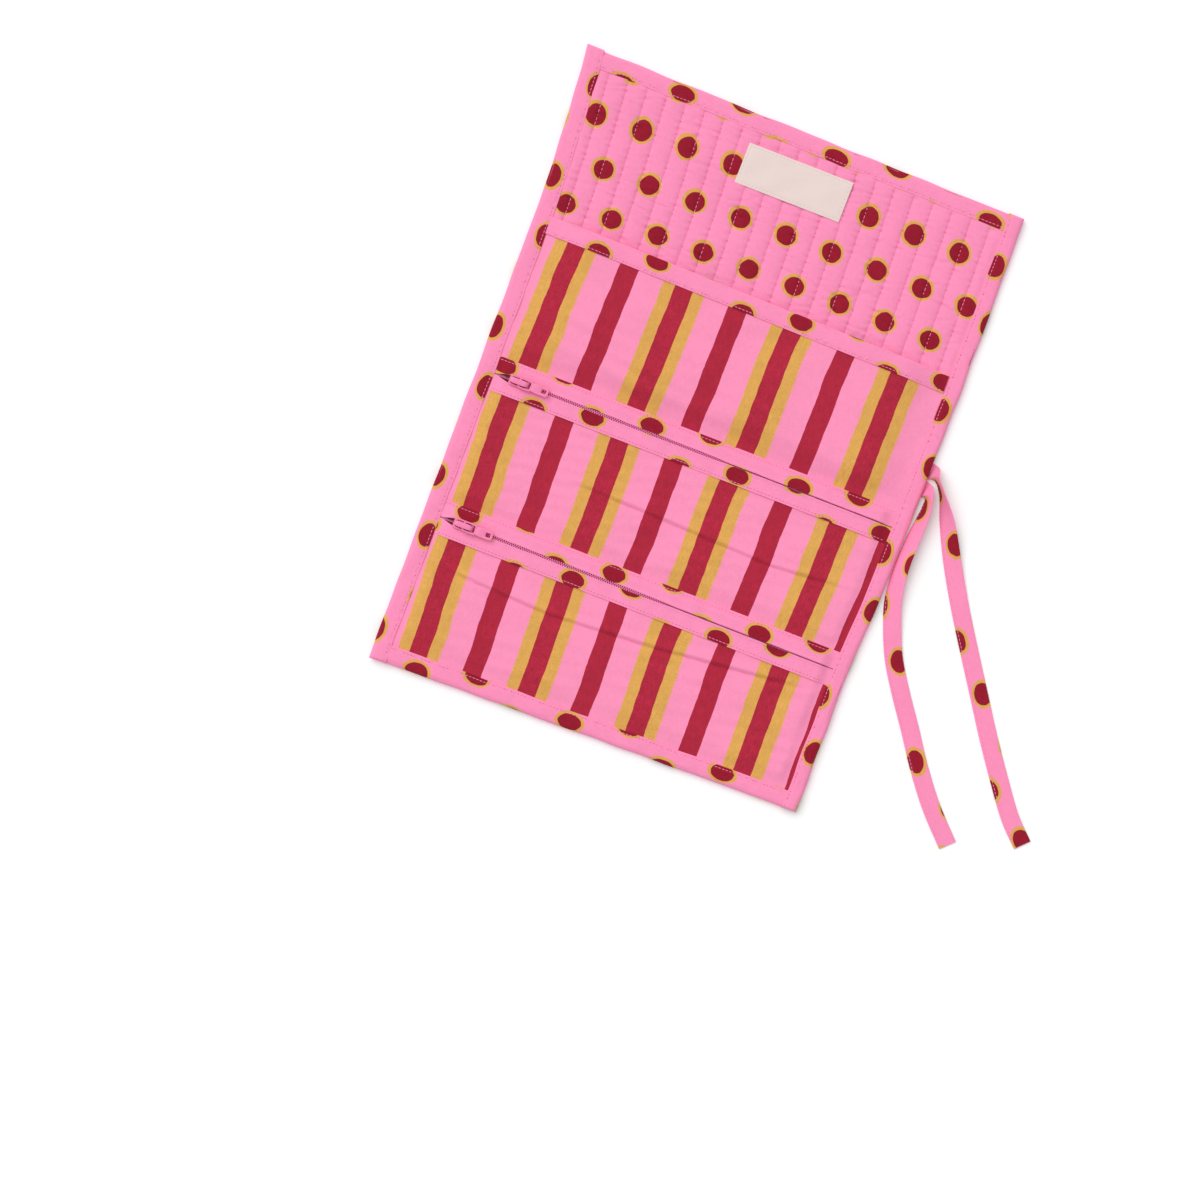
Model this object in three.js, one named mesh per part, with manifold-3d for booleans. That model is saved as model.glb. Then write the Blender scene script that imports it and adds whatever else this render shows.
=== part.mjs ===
// Roll-up case of quilted cotton, opened flat on a table: a flap, a slip pocket, two zipped pockets, a tie strap.
// Millimetres, +Z up. X runs across the case, Y from its free bottom edge to the flap's free top edge.
import * as THREE from 'three';
import Module from 'manifold-3d';

const wasm = await Module();
wasm.setup();

// Outline of the opened case, section by section from the flap's free edge down
const WIDTH = 240;
const FLAP_LENGTH = 87.4;
const SLIP_LENGTH = 80.1;
const ZIP1_LENGTH = 79.8;
const ZIP2_LENGTH = 86.7;

// Cloth layers
const BINDING = 0.8;
const BINDING_WIDTH = 9.4;
const CLOTH = 0.5;
const BATTING = 1.4;
const QUILT_PITCH = 10.5;
const QUILT_RISE = 0.4;
const STITCH_DIP = 0.15;
const SHELL_DIP = 0.25;

// Clearances: layer on layer, edge to edge, section to section at a fold
const LAYER_GAP = 0.1;
const SEAM_GAP = 0.3;
const FOLD_GAP = 0.6;

// Slip pocket
const MOUTH_SETBACK = 4.0;
const MOUTH_BAND = 9.0;
const SLIP_ROOM = 4.6;
const SLIP_SIDE_RAMP = 24;
const SLIP_BOTTOM_RAMP = 15;

// Zipped pockets
const ZIP_OFFSET = 8.8;
const BAND_WIDTH = 9.1;
const ZIP_ROOM = 1.5;
const ZIP_RAMP = 6.5;
const POCKET_RAMP = 10;
const TAPE = 0.4;
const TAPE_WIDTH = 6.0;
const COIL_WIDTH = 1.1;
const COIL_HEIGHT = 1.1;
const SLIT = 0.9;
const COIL_TO_BAND = 0.25;

// Zip slider and pull
const SLIDER_SETBACK = 24.5;
const SLIDER_LENGTH = 10.4;
const SLIDER_WIDTH = 7.2;
const SLIDER_PLATE = 0.8;
const SLIDER_UNDER = 0.65;
const SLIDER_PLAY = 0.25;
const POST_LENGTH = 3.0;
const POST_PLAY = 0.15;
const BRIDGE_LENGTH = 6.4;
const BRIDGE_WIDTH = 1.8;
const BRIDGE_BAR = 0.8;
const BRIDGE_LEG = 1.0;
const BRIDGE_WINDOW = 1.5;
const PULL_LENGTH = 17.5;
const PULL_WIDTH = 4.6;
const PULL_THICKNESS = 1.0;
const PULL_ARM_PLAY = 0.3;
const PULL_TAB_PLAY = 0.7;
const PULL_HOLE = 1.8;

// Label patch and tie strap
const LABEL_WIDTH = 58;
const LABEL_HEIGHT = 22;
const LABEL_DROP = 27.4;
const STRAP_WIDTH = 9.5;
const STRAP_THICKNESS = 0.7;
const STRAP_LIFT = 0.03;
const STRAP_PITCH = 10;
const STRAP_DROP = 59.6;
const STRAP_PLAY = 1.0;
const ANCHOR_LENGTH = 14;
const STRAP_STEPS = 4;

// Lines across the case
const Y_TOP = (FLAP_LENGTH + SLIP_LENGTH + ZIP1_LENGTH + ZIP2_LENGTH) / 2;
const FOLD_1 = Y_TOP - FLAP_LENGTH;
const FOLD_2 = FOLD_1 - SLIP_LENGTH;
const FOLD_3 = FOLD_2 - ZIP1_LENGTH;
const Y_END = -Y_TOP;
const MOUTH = FOLD_1 - MOUTH_SETBACK;
const STRAP_Y = FOLD_1 - STRAP_DROP;

// Lines along the case
const X_EDGE = WIDTH / 2;
const X_LAYER = X_EDGE - BINDING - SEAM_GAP;
const X_BOUND = X_EDGE - BINDING_WIDTH;
const X_OPEN = X_BOUND - SEAM_GAP;
const X_CHAIN = X_OPEN - ZIP_RAMP;
const X_SLIDER = SLIDER_SETBACK - X_EDGE;

// Levels above the table
const SHELL_Z = BINDING + LAYER_GAP;
const BATTING_Z = SHELL_Z + CLOTH + LAYER_GAP;
const LINING_Z = BATTING_Z + BATTING + LAYER_GAP;
const LINING_TOP = LINING_Z + CLOTH;
const POCKET_Z = LINING_TOP + LAYER_GAP;
const FLAP_LEG = LINING_TOP + LAYER_GAP;
const POCKET_LEG = POCKET_Z + CLOTH + LAYER_GAP;
const TAPE_Z = POCKET_Z + ZIP_ROOM;
const COIL_Z = TAPE_Z + TAPE;
const BAND_Z = TAPE_Z + CLOTH + LAYER_GAP;
const SLIDER_Z = COIL_Z + COIL_HEIGHT + SLIDER_PLAY;
const BRIDGE_Z = SLIDER_Z + SLIDER_PLATE;
const PULL_Z = BRIDGE_Z + BRIDGE_WINDOW / 2;

const DOTTED = { color: 0xfe91be, roughness: 0.9, metalness: 0 };
const STRIPED = { color: 0xe0748b, roughness: 0.9, metalness: 0 };
const WADDING = { color: 0xf4f0ea, roughness: 1, metalness: 0 };
const WOVEN = { color: 0xeeded6, roughness: 0.85, metalness: 0 };
const TAPE_CLOTH = { color: 0xe97fb0, roughness: 0.85, metalness: 0 };
const NYLON = { color: 0xa0567c, roughness: 0.5, metalness: 0 };
const ENAMEL = { color: 0xf27fae, roughness: 0.35, metalness: 0.1 };

const model = new THREE.Group();
model.name = 'jewelry_roll';

/** Adds one named piece with a material of its own. */
function add(name, geometry, finish) {
  const mesh = new THREE.Mesh(geometry, new THREE.MeshStandardMaterial(finish));
  mesh.name = name;
  model.add(mesh);
}

/** Geometry from flat arrays, turned over if its faces point inwards. */
function solid(positions, index) {
  const corner = (k) => new THREE.Vector3().fromArray(positions, 3 * k);
  let volume = 0;
  for (let k = 0; k < index.length; k += 3) {
    volume += corner(index[k]).dot(corner(index[k + 1]).cross(corner(index[k + 2])));
  }
  const geometry = new THREE.BufferGeometry();
  geometry.setAttribute('position', new THREE.Float32BufferAttribute(positions, 3));
  geometry.setIndex(volume < 0 ? [...index].reverse() : [...index]);
  return geometry;
}

/** Closed solid through rings of one even point count; each end is capped between the ring's two halves. */
function loft(rings) {
  const count = rings[0].length;
  const last = (rings.length - 1) * count;
  const index = [];
  for (let start = 0; start < last; start += count) {
    for (let k = 0; k < count; k += 1) {
      const a = start + k;
      const b = start + ((k + 1) % count);
      index.push(a, b, b + count, a, b + count, a + count);
    }
  }
  for (let k = 0; k + 1 < count / 2; k += 1) {
    const [a, b, c, d] = [k, k + 1, count - 2 - k, count - 1 - k];
    index.push(c, b, a, d, c, a);
    index.push(last + a, last + b, last + c, last + a, last + c, last + d);
  }
  return solid(rings.flat().flatMap((point) => point), index);
}

/** Sheet over a grid of X and Y lines, between the heights that two functions of x and y give. */
function sheet(xs, ys, under, over) {
  const back = [...xs].reverse();
  const ring = (y) => [...xs.map((x) => [x, y, under(x, y)]), ...back.map((x) => [x, y, over(x, y)])];
  return loft(ys.map(ring));
}

/** Plain slab with its faces along the axes. */
function slab([x0, x1], [y0, y1], [z0, z1]) {
  return sheet([x0, x1], [y0, y1], () => z0, () => z1);
}

/** Upright prism of a convex outline with an even number of points. */
function prism(outline, z0, z1) {
  return loft([z0, z1].map((z) => outline.map(([x, y]) => [x, y, z])));
}

/** Round bar along Y or Z, with twelve sides, from one height on its axis to another. */
function bar(axis, radius, [cx, cz], from, to) {
  const angles = Array.from({ length: 12 }, (_, k) => (Math.PI * (2 * k + 1)) / 12);
  const place = (angle, h) => {
    const [c, s] = [radius * Math.cos(angle), radius * Math.sin(angle)];
    return axis === 'y' ? [cx + c, h, cz + s] : [cx + c, cz + s, h];
  };
  return loft([from, to].map((h) => angles.map((angle) => place(angle, h))));
}

/** Solid of a geometry for the boolean steps. */
function toBody(geometry) {
  const vertProperties = new Float32Array(geometry.attributes.position.array);
  const triVerts = new Uint32Array(geometry.index.array);
  return new wasm.Manifold(new wasm.Mesh({ numProp: 3, vertProperties, triVerts }));
}

/** Joins the first list into one solid and takes the second list away from it. */
function combine(joined, removed = []) {
  const whole = joined.map(toBody).reduce((sum, body) => sum.add(body));
  const result = removed.map(toBody).reduce((rest, body) => rest.subtract(body), whole);
  const { vertProperties, triVerts } = result.getMesh();
  return solid([...vertProperties], [...triVerts]);
}

/** Smooth step from 0 to 1 as a distance grows from 0 to a length. */
function ramp(distance, length) {
  const t = Math.min(1, Math.max(0, distance / length));
  return t * t * (3 - 2 * t);
}

/** Both signs of a list of half widths, in rising order. */
function mirrored(halves) {
  return [...halves.map((x) => -x), ...halves].sort((a, b) => a - b);
}

/** Section of the strap: a flat octagon in its own width and thickness directions. */
function strapSection() {
  const [w, t, c] = [STRAP_WIDTH / 2, STRAP_THICKNESS / 2, STRAP_THICKNESS / 4];
  const side = [[c - w, -t], [w - c, -t], [w, c - t], [w, t - c]];
  return [...side, ...side.map(([a, b]) => [-a, -b])];
}

/** Strap end through route points [x, y, bank in degrees]; a banked stretch leans on its inner edge on the table. */
function strap(route, steps) {
  const points = route.map(([x, y, bank]) => new THREE.Vector3(x, y, THREE.MathUtils.degToRad(bank)));
  const last = steps * (route.length - 1);
  const path = new THREE.CatmullRomCurve3(points, false, 'centripetal').getPoints(last);
  const rings = path.map((point, k) => {
    const along = path[Math.min(k + 1, last)].clone().sub(path[Math.max(k - 1, 0)]).setZ(0).normalize();
    const bank = Math.max(0, point.z);
    const [c, s] = [Math.cos(bank), Math.sin(bank)];
    const z = STRAP_LIFT + (STRAP_WIDTH * s + STRAP_THICKNESS * c) / 2;
    const across = [-along.y * c, along.x * c, s];
    const up = [along.y * s, -along.x * s, c];
    return strapSection().map(([a, b]) => [
      point.x + a * across[0] + b * up[0],
      point.y + a * across[1] + b * up[1],
      z + a * across[2] + b * up[2],
    ]);
  });
  return loft(rings);
}

// Quilting: stitch lines one pitch apart, a padded channel between each two
const CHANNELS = 2 * Math.floor((X_BOUND - SEAM_GAP) / QUILT_PITCH);
const X_QUILT = (CHANNELS * QUILT_PITCH) / 2;
const QUILT_STEPS = 3;
const QUILT_XS = [
  -X_LAYER,
  -X_BOUND,
  ...Array.from({ length: CHANNELS * QUILT_STEPS + 1 }, (_, k) => (k * QUILT_PITCH) / QUILT_STEPS - X_QUILT),
  X_BOUND,
  X_LAYER,
];

/** Padding of the quilting across X: 0 on a stitch line, 1 on a channel's crown, 0.5 outside the lines. */
function crown(x) {
  const inside = Math.abs(x) < X_QUILT + LAYER_GAP;
  return inside ? Math.abs(Math.sin((Math.PI * (x + X_QUILT)) / QUILT_PITCH)) : 0.5;
}

/** 1 over the open cloth, 0 under the bindings, where the quilting is pressed flat. */
function puff(x, y) {
  const inset = Math.min(X_BOUND - Math.abs(x), Y_TOP - BINDING_WIDTH - y, y - Y_END - BINDING_WIDTH);
  return inset >= SEAM_GAP ? 1 : 0;
}

/** Rows of a section's layers, with a row on each side of the edge of a binding along X. */
function layerRows(low, high) {
  const rows = [low, Y_END + BINDING_WIDTH, Y_END + BINDING_WIDTH + SEAM_GAP, high];
  rows.push(Y_TOP - BINDING_WIDTH - SEAM_GAP, Y_TOP - BINDING_WIDTH);
  return [...new Set(rows)].filter((y) => y >= low && y <= high).sort((a, b) => a - b);
}

/** Shell, batting and lining of one section. */
function quiltedLayers(prefix, low, high, liningShows) {
  const wide = [-X_LAYER, X_LAYER];
  const shellUnder = (x, y) => SHELL_Z + SHELL_DIP * puff(x, y) * (1 - crown(x));
  const shell = sheet(QUILT_XS, layerRows(low, high), shellUnder, () => SHELL_Z + CLOTH);
  add(`${prefix}_shell`, shell, STRIPED);
  add(`${prefix}_batting`, slab(wide, [low, high], [BATTING_Z, BATTING_Z + BATTING]), WADDING);
  const liningOver = (x, y) => LINING_TOP + puff(x, y) * (crown(x) * (QUILT_RISE + STITCH_DIP) - STITCH_DIP);
  const quilted = sheet(QUILT_XS, layerRows(low, high), () => LINING_Z, liningOver);
  const plain = slab(wide, [low, high], [LINING_Z, LINING_TOP]);
  add(`${prefix}_lining`, liningShows ? quilted : plain, DOTTED);
}

/** Folded binding along a side edge; a closed end also wraps the corner. */
function sideBinding(name, side, [low, high], leg, [closedLow, closedHigh], notches = []) {
  const across = (outer, inner) => [side * outer, side * inner].sort((a, b) => a - b);
  const body = slab(across(X_EDGE, X_BOUND), [low, high], [0, leg + BINDING]);
  const slotLow = closedLow ? low + BINDING : low - BINDING;
  const slotHigh = closedHigh ? high - BINDING : high + BINDING;
  const slot = slab(across(X_EDGE - BINDING, X_BOUND - BINDING), [slotLow, slotHigh], [BINDING, leg]);
  add(name, combine([body], [slot, ...notches]), DOTTED);
}

/** Folded binding along the top or bottom edge, between the side bindings. */
function endBinding(name, edge, leg) {
  const inward = -Math.sign(edge);
  const rows = (from, to) => [edge + inward * from, edge + inward * to].sort((a, b) => a - b);
  const body = slab([-X_OPEN, X_OPEN], rows(0, BINDING_WIDTH), [0, leg + BINDING]);
  const slot = slab([-X_EDGE, X_EDGE], rows(BINDING, BINDING_WIDTH + BINDING), [BINDING, leg]);
  add(name, combine([body], [slot]), DOTTED);
}

/** Slip pocket's front: sewn down at its sides and bottom, standing open along its mouth. */
function slipPocket() {
  const bottom = FOLD_2 + FOLD_GAP / 2;
  const halves = [X_LAYER, X_OPEN, ...[0.25, 0.5, 0.75, 1].map((part) => X_OPEN - part * SLIP_SIDE_RAMP)];
  const rows = [0, 1 / 3, 2 / 3, 1].map((part) => bottom + part * SLIP_BOTTOM_RAMP);
  const rise = (x, y) => ramp(X_OPEN - Math.abs(x), SLIP_SIDE_RAMP) * ramp(y - bottom, SLIP_BOTTOM_RAMP);
  const under = (x, y) => POCKET_Z + SLIP_ROOM * rise(x, y);
  const over = (x, y) => under(x, y) + CLOTH;
  add('slip_pocket_front', sheet(mirrored(halves), [...rows, MOUTH], under, over), STRIPED);
  const lip = MOUTH + LAYER_GAP;
  const bandUnder = (x, y) => under(x, y) + (y <= lip ? CLOTH + LAYER_GAP : 0);
  const bandOver = (x, y) => under(x, y) + 2 * CLOTH + LAYER_GAP;
  const bandRows = [MOUTH - MOUTH_BAND, lip, lip + LAYER_GAP, lip + LAYER_GAP + CLOTH];
  add('slip_pocket_band', sheet(mirrored(halves.slice(1)), bandRows, bandUnder, bandOver), DOTTED);
}

/** Slider's plan outline: broad end to the left, where the two chains part. */
function sliderOutline(scale) {
  const [l, w] = [(scale * SLIDER_LENGTH) / 2, (scale * SLIDER_WIDTH) / 2];
  const side = [[-l, -0.6 * w], [-0.7 * l, -w], [0.2 * l, -0.95 * w], [l, -0.68 * w]];
  return [...side, ...[...side].reverse().map(([x, y]) => [x, -y])];
}

/** Zip slider: two plates joined by a post through the slit, and a bridge for the pull. */
function slider(name, y) {
  const plan = (scale) => sliderOutline(scale).map(([dx, dy]) => [X_SLIDER + dx, y + dy]);
  const xs = (from, to) => [X_SLIDER + from, X_SLIDER + to];
  const ys = (half) => [y - half, y + half];
  const underTop = TAPE_Z - SLIDER_PLAY;
  const legFrom = BRIDGE_LENGTH / 2 - BRIDGE_LEG;
  const windowTop = BRIDGE_Z + BRIDGE_WINDOW;
  const legTo = BRIDGE_LENGTH / 2;
  const midPlate = BRIDGE_Z - SLIDER_PLATE / 2;
  const bridgeRows = ys(BRIDGE_WIDTH / 2);
  const pieces = [
    prism(plan(1), SLIDER_Z, BRIDGE_Z),
    prism(plan(0.92), underTop - SLIDER_UNDER, underTop),
    slab(xs(-POST_LENGTH, 0), ys(SLIT / 2 - POST_PLAY), [underTop - SLIDER_UNDER / 2, midPlate]),
    slab(xs(-legTo, -legFrom), bridgeRows, [midPlate, windowTop]),
    slab(xs(legFrom, legTo), bridgeRows, [midPlate, windowTop]),
    slab(xs(-legTo, legTo), bridgeRows, [windowTop - LAYER_GAP, windowTop + BRIDGE_BAR]),
  ];
  add(name, combine(pieces), ENAMEL);
}

/** Zip pull: a cross bar under the slider's bridge, two arms beside it and a tab with a hole. */
function pull(name, y) {
  const half = PULL_WIDTH / 2;
  const armInner = BRIDGE_WIDTH / 2 + PULL_ARM_PLAY;
  const tabFrom = BRIDGE_LENGTH / 2 + PULL_TAB_PLAY;
  const [z0, z1] = [PULL_Z - PULL_THICKNESS / 2, PULL_Z + PULL_THICKNESS / 2];
  const armXs = [X_SLIDER, X_SLIDER + tabFrom + PULL_ARM_PLAY];
  const corner = [[half, 1], [0.3 * half, 0.7], [0, 0.2]];
  const round = corner.map(([back, share]) => [X_SLIDER + PULL_LENGTH - back, half * share]);
  const edge = [[X_SLIDER + tabFrom, half], ...round];
  const outline = [...edge.map(([x, dy]) => [x, y - dy]), ...edge.reverse().map(([x, dy]) => [x, y + dy])];
  const pieces = [
    bar('y', PULL_THICKNESS / 2, [X_SLIDER, PULL_Z], y - half, y + half),
    slab(armXs, [y - half, y - armInner], [z0, z1]),
    slab(armXs, [y + armInner, y + half], [z0, z1]),
    prism(outline, z0, z1),
  ];
  const hole = bar('z', PULL_HOLE / 2, [X_SLIDER + PULL_LENGTH - half, y], PULL_Z - half, PULL_Z + half);
  add(name, combine(pieces, [hole]), ENAMEL);
}

/** Zip with its bands and the pocket it opens, from the fold above it down to the pocket's bottom seam. */
function zippedPocket(prefix, fold, bottom, bottomFlat) {
  const zip = fold - ZIP_OFFSET;
  const bandEdge = SLIT / 2 + COIL_WIDTH + COIL_TO_BAND;
  const bandTop = fold - FOLD_GAP / 2;
  const tapeInner = SLIT / 2 + POST_PLAY;
  const level = (x) => ramp(X_OPEN - Math.abs(x), ZIP_RAMP);
  const sides = [X_LAYER, X_OPEN, X_OPEN - ZIP_RAMP / 2, X_CHAIN];
  const chain = [-X_CHAIN, X_CHAIN];
  const riseEnd = zip + TAPE_WIDTH + SEAM_GAP;

  const upper = (x, y) => POCKET_Z + (BAND_Z - POCKET_Z) * level(x) * ramp(bandTop - y, bandTop - riseEnd);
  const upperRows = [zip + bandEdge, riseEnd, (riseEnd + bandTop) / 2, bandTop];
  add(`${prefix}_upper_band`, sheet(mirrored(sides), upperRows, upper, (x, y) => upper(x, y) + CLOTH), DOTTED);

  const lower = (x) => POCKET_LEG + ZIP_ROOM * level(x);
  const lowerRows = [zip - BAND_WIDTH, zip - bandEdge];
  add(`${prefix}_lower_band`, sheet(mirrored(sides.slice(1)), lowerRows, lower, (x) => lower(x) + CLOTH), DOTTED);

  const tapeRows = [tapeInner, TAPE_WIDTH];
  add(`${prefix}_upper_tape`, slab(chain, tapeRows.map((d) => zip + d), [TAPE_Z, COIL_Z]), TAPE_CLOTH);
  add(`${prefix}_lower_tape`, slab(chain, tapeRows.map((d) => zip - d).reverse(), [TAPE_Z, COIL_Z]), TAPE_CLOTH);
  const coilRows = [SLIT / 2, SLIT / 2 + COIL_WIDTH];
  const coilLevels = [COIL_Z, COIL_Z + COIL_HEIGHT];
  add(`${prefix}_upper_coil`, slab(chain, coilRows.map((d) => zip + d), coilLevels), NYLON);
  add(`${prefix}_lower_coil`, slab(chain, coilRows.map((d) => zip - d).reverse(), coilLevels), NYLON);

  const seam = bottom + bottomFlat;
  const front = (x, y) => POCKET_Z + ZIP_ROOM * level(x) * ramp(y - seam, POCKET_RAMP);
  const frontTop = zip - TAPE_WIDTH - SEAM_GAP;
  const frontRows = [...new Set([bottom, seam])];
  frontRows.push(seam + POCKET_RAMP / 2, seam + POCKET_RAMP, frontTop);
  add(`${prefix}_pocket_front`, sheet(mirrored(sides), frontRows, front, (x, y) => front(x, y) + CLOTH), STRIPED);

  slider(`${prefix}_slider`, zip);
  pull(`${prefix}_pull`, zip);
}

// Sections, each standing back half a gap from its folds
const half = FOLD_GAP / 2;
const freeEnd = BINDING + SEAM_GAP;
const SECTIONS = {
  flap: [FOLD_1 + half, Y_TOP],
  slip: [FOLD_2 + half, FOLD_1 - half],
  zip1: [FOLD_3 + half, FOLD_2 - half],
  zip2: [Y_END, FOLD_3 - half],
};

quiltedLayers('flap', SECTIONS.flap[0], Y_TOP - freeEnd, true);
quiltedLayers('slip', ...SECTIONS.slip, false);
quiltedLayers('zip1', ...SECTIONS.zip1, false);
quiltedLayers('zip2', Y_END + freeEnd, SECTIONS.zip2[1], false);

// The right binding is notched under its edge where both strap ends pass out
const notchXs = [X_BOUND - STRAP_PLAY, X_EDGE + STRAP_PLAY];
const notchYs = [-1, 1].map((sign) => STRAP_Y + sign * (STRAP_PITCH + STRAP_PLAY));
const strapNotch = slab(notchXs, notchYs, [-BINDING, BINDING]);
for (const [side, sideName] of [[-1, 'left'], [1, 'right']]) {
  const notches = side > 0 ? [strapNotch] : [];
  sideBinding(`flap_binding_${sideName}`, side, SECTIONS.flap, FLAP_LEG, [false, true]);
  sideBinding(`slip_binding_${sideName}`, side, SECTIONS.slip, POCKET_LEG, [false, false], notches);
  sideBinding(`zip1_binding_${sideName}`, side, SECTIONS.zip1, POCKET_LEG, [false, false]);
  sideBinding(`zip2_binding_${sideName}`, side, SECTIONS.zip2, POCKET_LEG, [true, false]);
}
endBinding('top_binding', Y_TOP, FLAP_LEG);
endBinding('bottom_binding', Y_END, POCKET_LEG);

const labelZ = LINING_TOP + QUILT_RISE + LAYER_GAP;
const labelY = Y_TOP - LABEL_DROP;
const labelRows = [labelY - LABEL_HEIGHT / 2, labelY + LABEL_HEIGHT / 2];
add('label_patch', slab([-LABEL_WIDTH / 2, LABEL_WIDTH / 2], labelRows, [labelZ, labelZ + CLOTH]), WOVEN);

slipPocket();
zippedPocket('zip1', FOLD_2, FOLD_3 + half, 0);
zippedPocket('zip2', FOLD_3, Y_END + freeEnd, BINDING_WIDTH - BINDING);

// Tie strap: its middle sewn under the slip section, both ends led out under the right edge and down the table
const strapLow = STRAP_Y - STRAP_PITCH / 2;
const strapHigh = STRAP_Y + STRAP_PITCH / 2;
const anchorRows = [strapLow - STRAP_WIDTH / 2, strapHigh + STRAP_WIDTH / 2];
add('strap_anchor', slab([-ANCHOR_LENGTH, 0], anchorRows, [STRAP_LIFT, STRAP_LIFT + STRAP_THICKNESS]), DOTTED);

// Route points: distance right of the case's edge, distance above or below the strap's line, bank
const ROUTE_A = [
  [-2, 5, 0], [1, 5, 0], [4.6, 3, 50], [9.6, -2.6, 70], [18.3, -16.5, 40], [28.9, -35.3, 12],
  [40, -53.8, 2], [53.7, -74.8, 0], [65.8, -92.9, 0], [78.8, -112.4, 0], [92.5, -131.6, 0],
  [105, -148, 0], [115.9, -158.8, 0],
];
const ROUTE_B = [
  [-2, -5, 0], [1, -5, 0], [4.3, -7.2, 48], [5.6, -13.2, 58], [5.5, -21, 52], [4.9, -32, 44],
  [4.6, -44, 40], [5.2, -54, 34], [7.1, -65, 22], [10.9, -75.8, 10], [18, -91.9, 2],
  [28, -107.6, 0], [38.9, -122.9, 0], [51.7, -141.4, 0], [64.6, -157.6, 0], [79.6, -173, 0],
];
const onTable = (route, y) => [
  [SEAM_GAP, y, 0],
  [X_EDGE / 2, y, 0],
  ...route.map(([dx, dy, bank]) => [X_EDGE + dx, STRAP_Y + dy, bank]),
];
add('strap_end_a', strap(onTable(ROUTE_A, strapHigh), STRAP_STEPS), DOTTED);
add('strap_end_b', strap(onTable(ROUTE_B, strapLow), STRAP_STEPS), DOTTED);

export default model;
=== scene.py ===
"""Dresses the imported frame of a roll-up jewelry case: quilted cloth, bindings, pockets, zips and tie strap.

Sizes are in millimetres until a surface becomes a mesh. X runs across the opened case, Y from its free
bottom edge to the flap's free edge, Z up from the table.
"""

import logging
import math
from dataclasses import dataclass, field, replace
from enum import Enum
from functools import partial
from typing import Any, Callable, ClassVar, Optional, Sequence, Union

import bpy
import numpy as np
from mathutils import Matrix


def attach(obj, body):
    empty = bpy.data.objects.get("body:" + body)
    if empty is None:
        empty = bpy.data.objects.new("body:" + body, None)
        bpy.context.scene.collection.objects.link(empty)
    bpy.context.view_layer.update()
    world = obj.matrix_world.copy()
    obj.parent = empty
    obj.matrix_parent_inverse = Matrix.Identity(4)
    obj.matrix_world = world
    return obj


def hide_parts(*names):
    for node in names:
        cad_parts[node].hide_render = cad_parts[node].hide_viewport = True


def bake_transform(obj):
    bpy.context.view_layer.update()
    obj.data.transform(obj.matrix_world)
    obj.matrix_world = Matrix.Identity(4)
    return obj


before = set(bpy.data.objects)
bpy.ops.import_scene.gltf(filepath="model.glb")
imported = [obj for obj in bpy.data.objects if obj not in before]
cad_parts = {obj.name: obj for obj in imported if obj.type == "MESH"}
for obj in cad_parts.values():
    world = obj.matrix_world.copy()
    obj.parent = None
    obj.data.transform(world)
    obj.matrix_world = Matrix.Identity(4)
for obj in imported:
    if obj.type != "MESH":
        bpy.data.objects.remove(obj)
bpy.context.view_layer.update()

Array = np.ndarray
Line = Callable[[Array], Array]
Surface = Callable[[Array, Array], Array]
Colour = tuple[int, int, int]
Material = bpy.types.Material
Pair = tuple[float, float]
Triple = tuple[float, float, float]
Route = tuple[tuple[float, ...], ...]

LOG = logging.getLogger("jewelry_roll")
MM = 0.001
CLOTH_MAP = "cloth"
BIAS = 45.0
BEND_STEP = 0.6
THREAD_SIDES = 6
SHARP_ANGLE = 50.0


# Small measures shared by every piece


def ease(distance: Array, length: float) -> Array:
    """Smooth step 3t^2 - 2t^3, where t is the distance over the length, held between 0 and 1."""
    t = np.clip(np.asarray(distance, float) / length, 0.0, 1.0)
    return t * t * (3.0 - 2.0 * t)


def bell(offset: Array, spread: float) -> Array:
    """Bell curve exp(-(offset / spread)^2)."""
    return np.exp(-((np.asarray(offset, float) / spread) ** 2))


def unit(vectors: Array) -> Array:
    """Each vector of a list, brought to length one."""
    return vectors / np.linalg.norm(vectors, axis=1)[:, None]


def turns(count: int, start: float = 0.0) -> Array:
    """Angles of even places round a circle, the first one a share of a step past zero."""
    return 2.0 * np.pi * (np.arange(count) + start) / count


def squared(angle: Array, corner: float) -> tuple[Array, Array]:
    """Rounded square of half size one: each angle's cosine and sine, their sizes raised to the corner."""
    c, s = np.cos(angle), np.sin(angle)
    return np.sign(c) * np.abs(c) ** corner, np.sign(s) * np.abs(s) ** corner


def lines(stops: Sequence[float], step: float) -> Array:
    """Rising or falling grid lines through every stop in order, no further apart than the step."""
    runs = [np.linspace(a, b, max(1, math.ceil(abs(b - a) / step)), endpoint=False)
            for a, b in zip(stops[:-1], stops[1:])]
    return np.concatenate([*runs, [stops[-1]]])


def linear(colour: Colour) -> tuple[float, ...]:
    """Screen colour from 0 to 255 as a linear colour with full opacity, by the usual screen curve."""
    parts = np.array(colour) / 255.0
    return (*np.where(parts <= 0.04045, parts / 12.92, ((parts + 0.055) / 1.055) ** 2.4).tolist(), 1.0)


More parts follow.
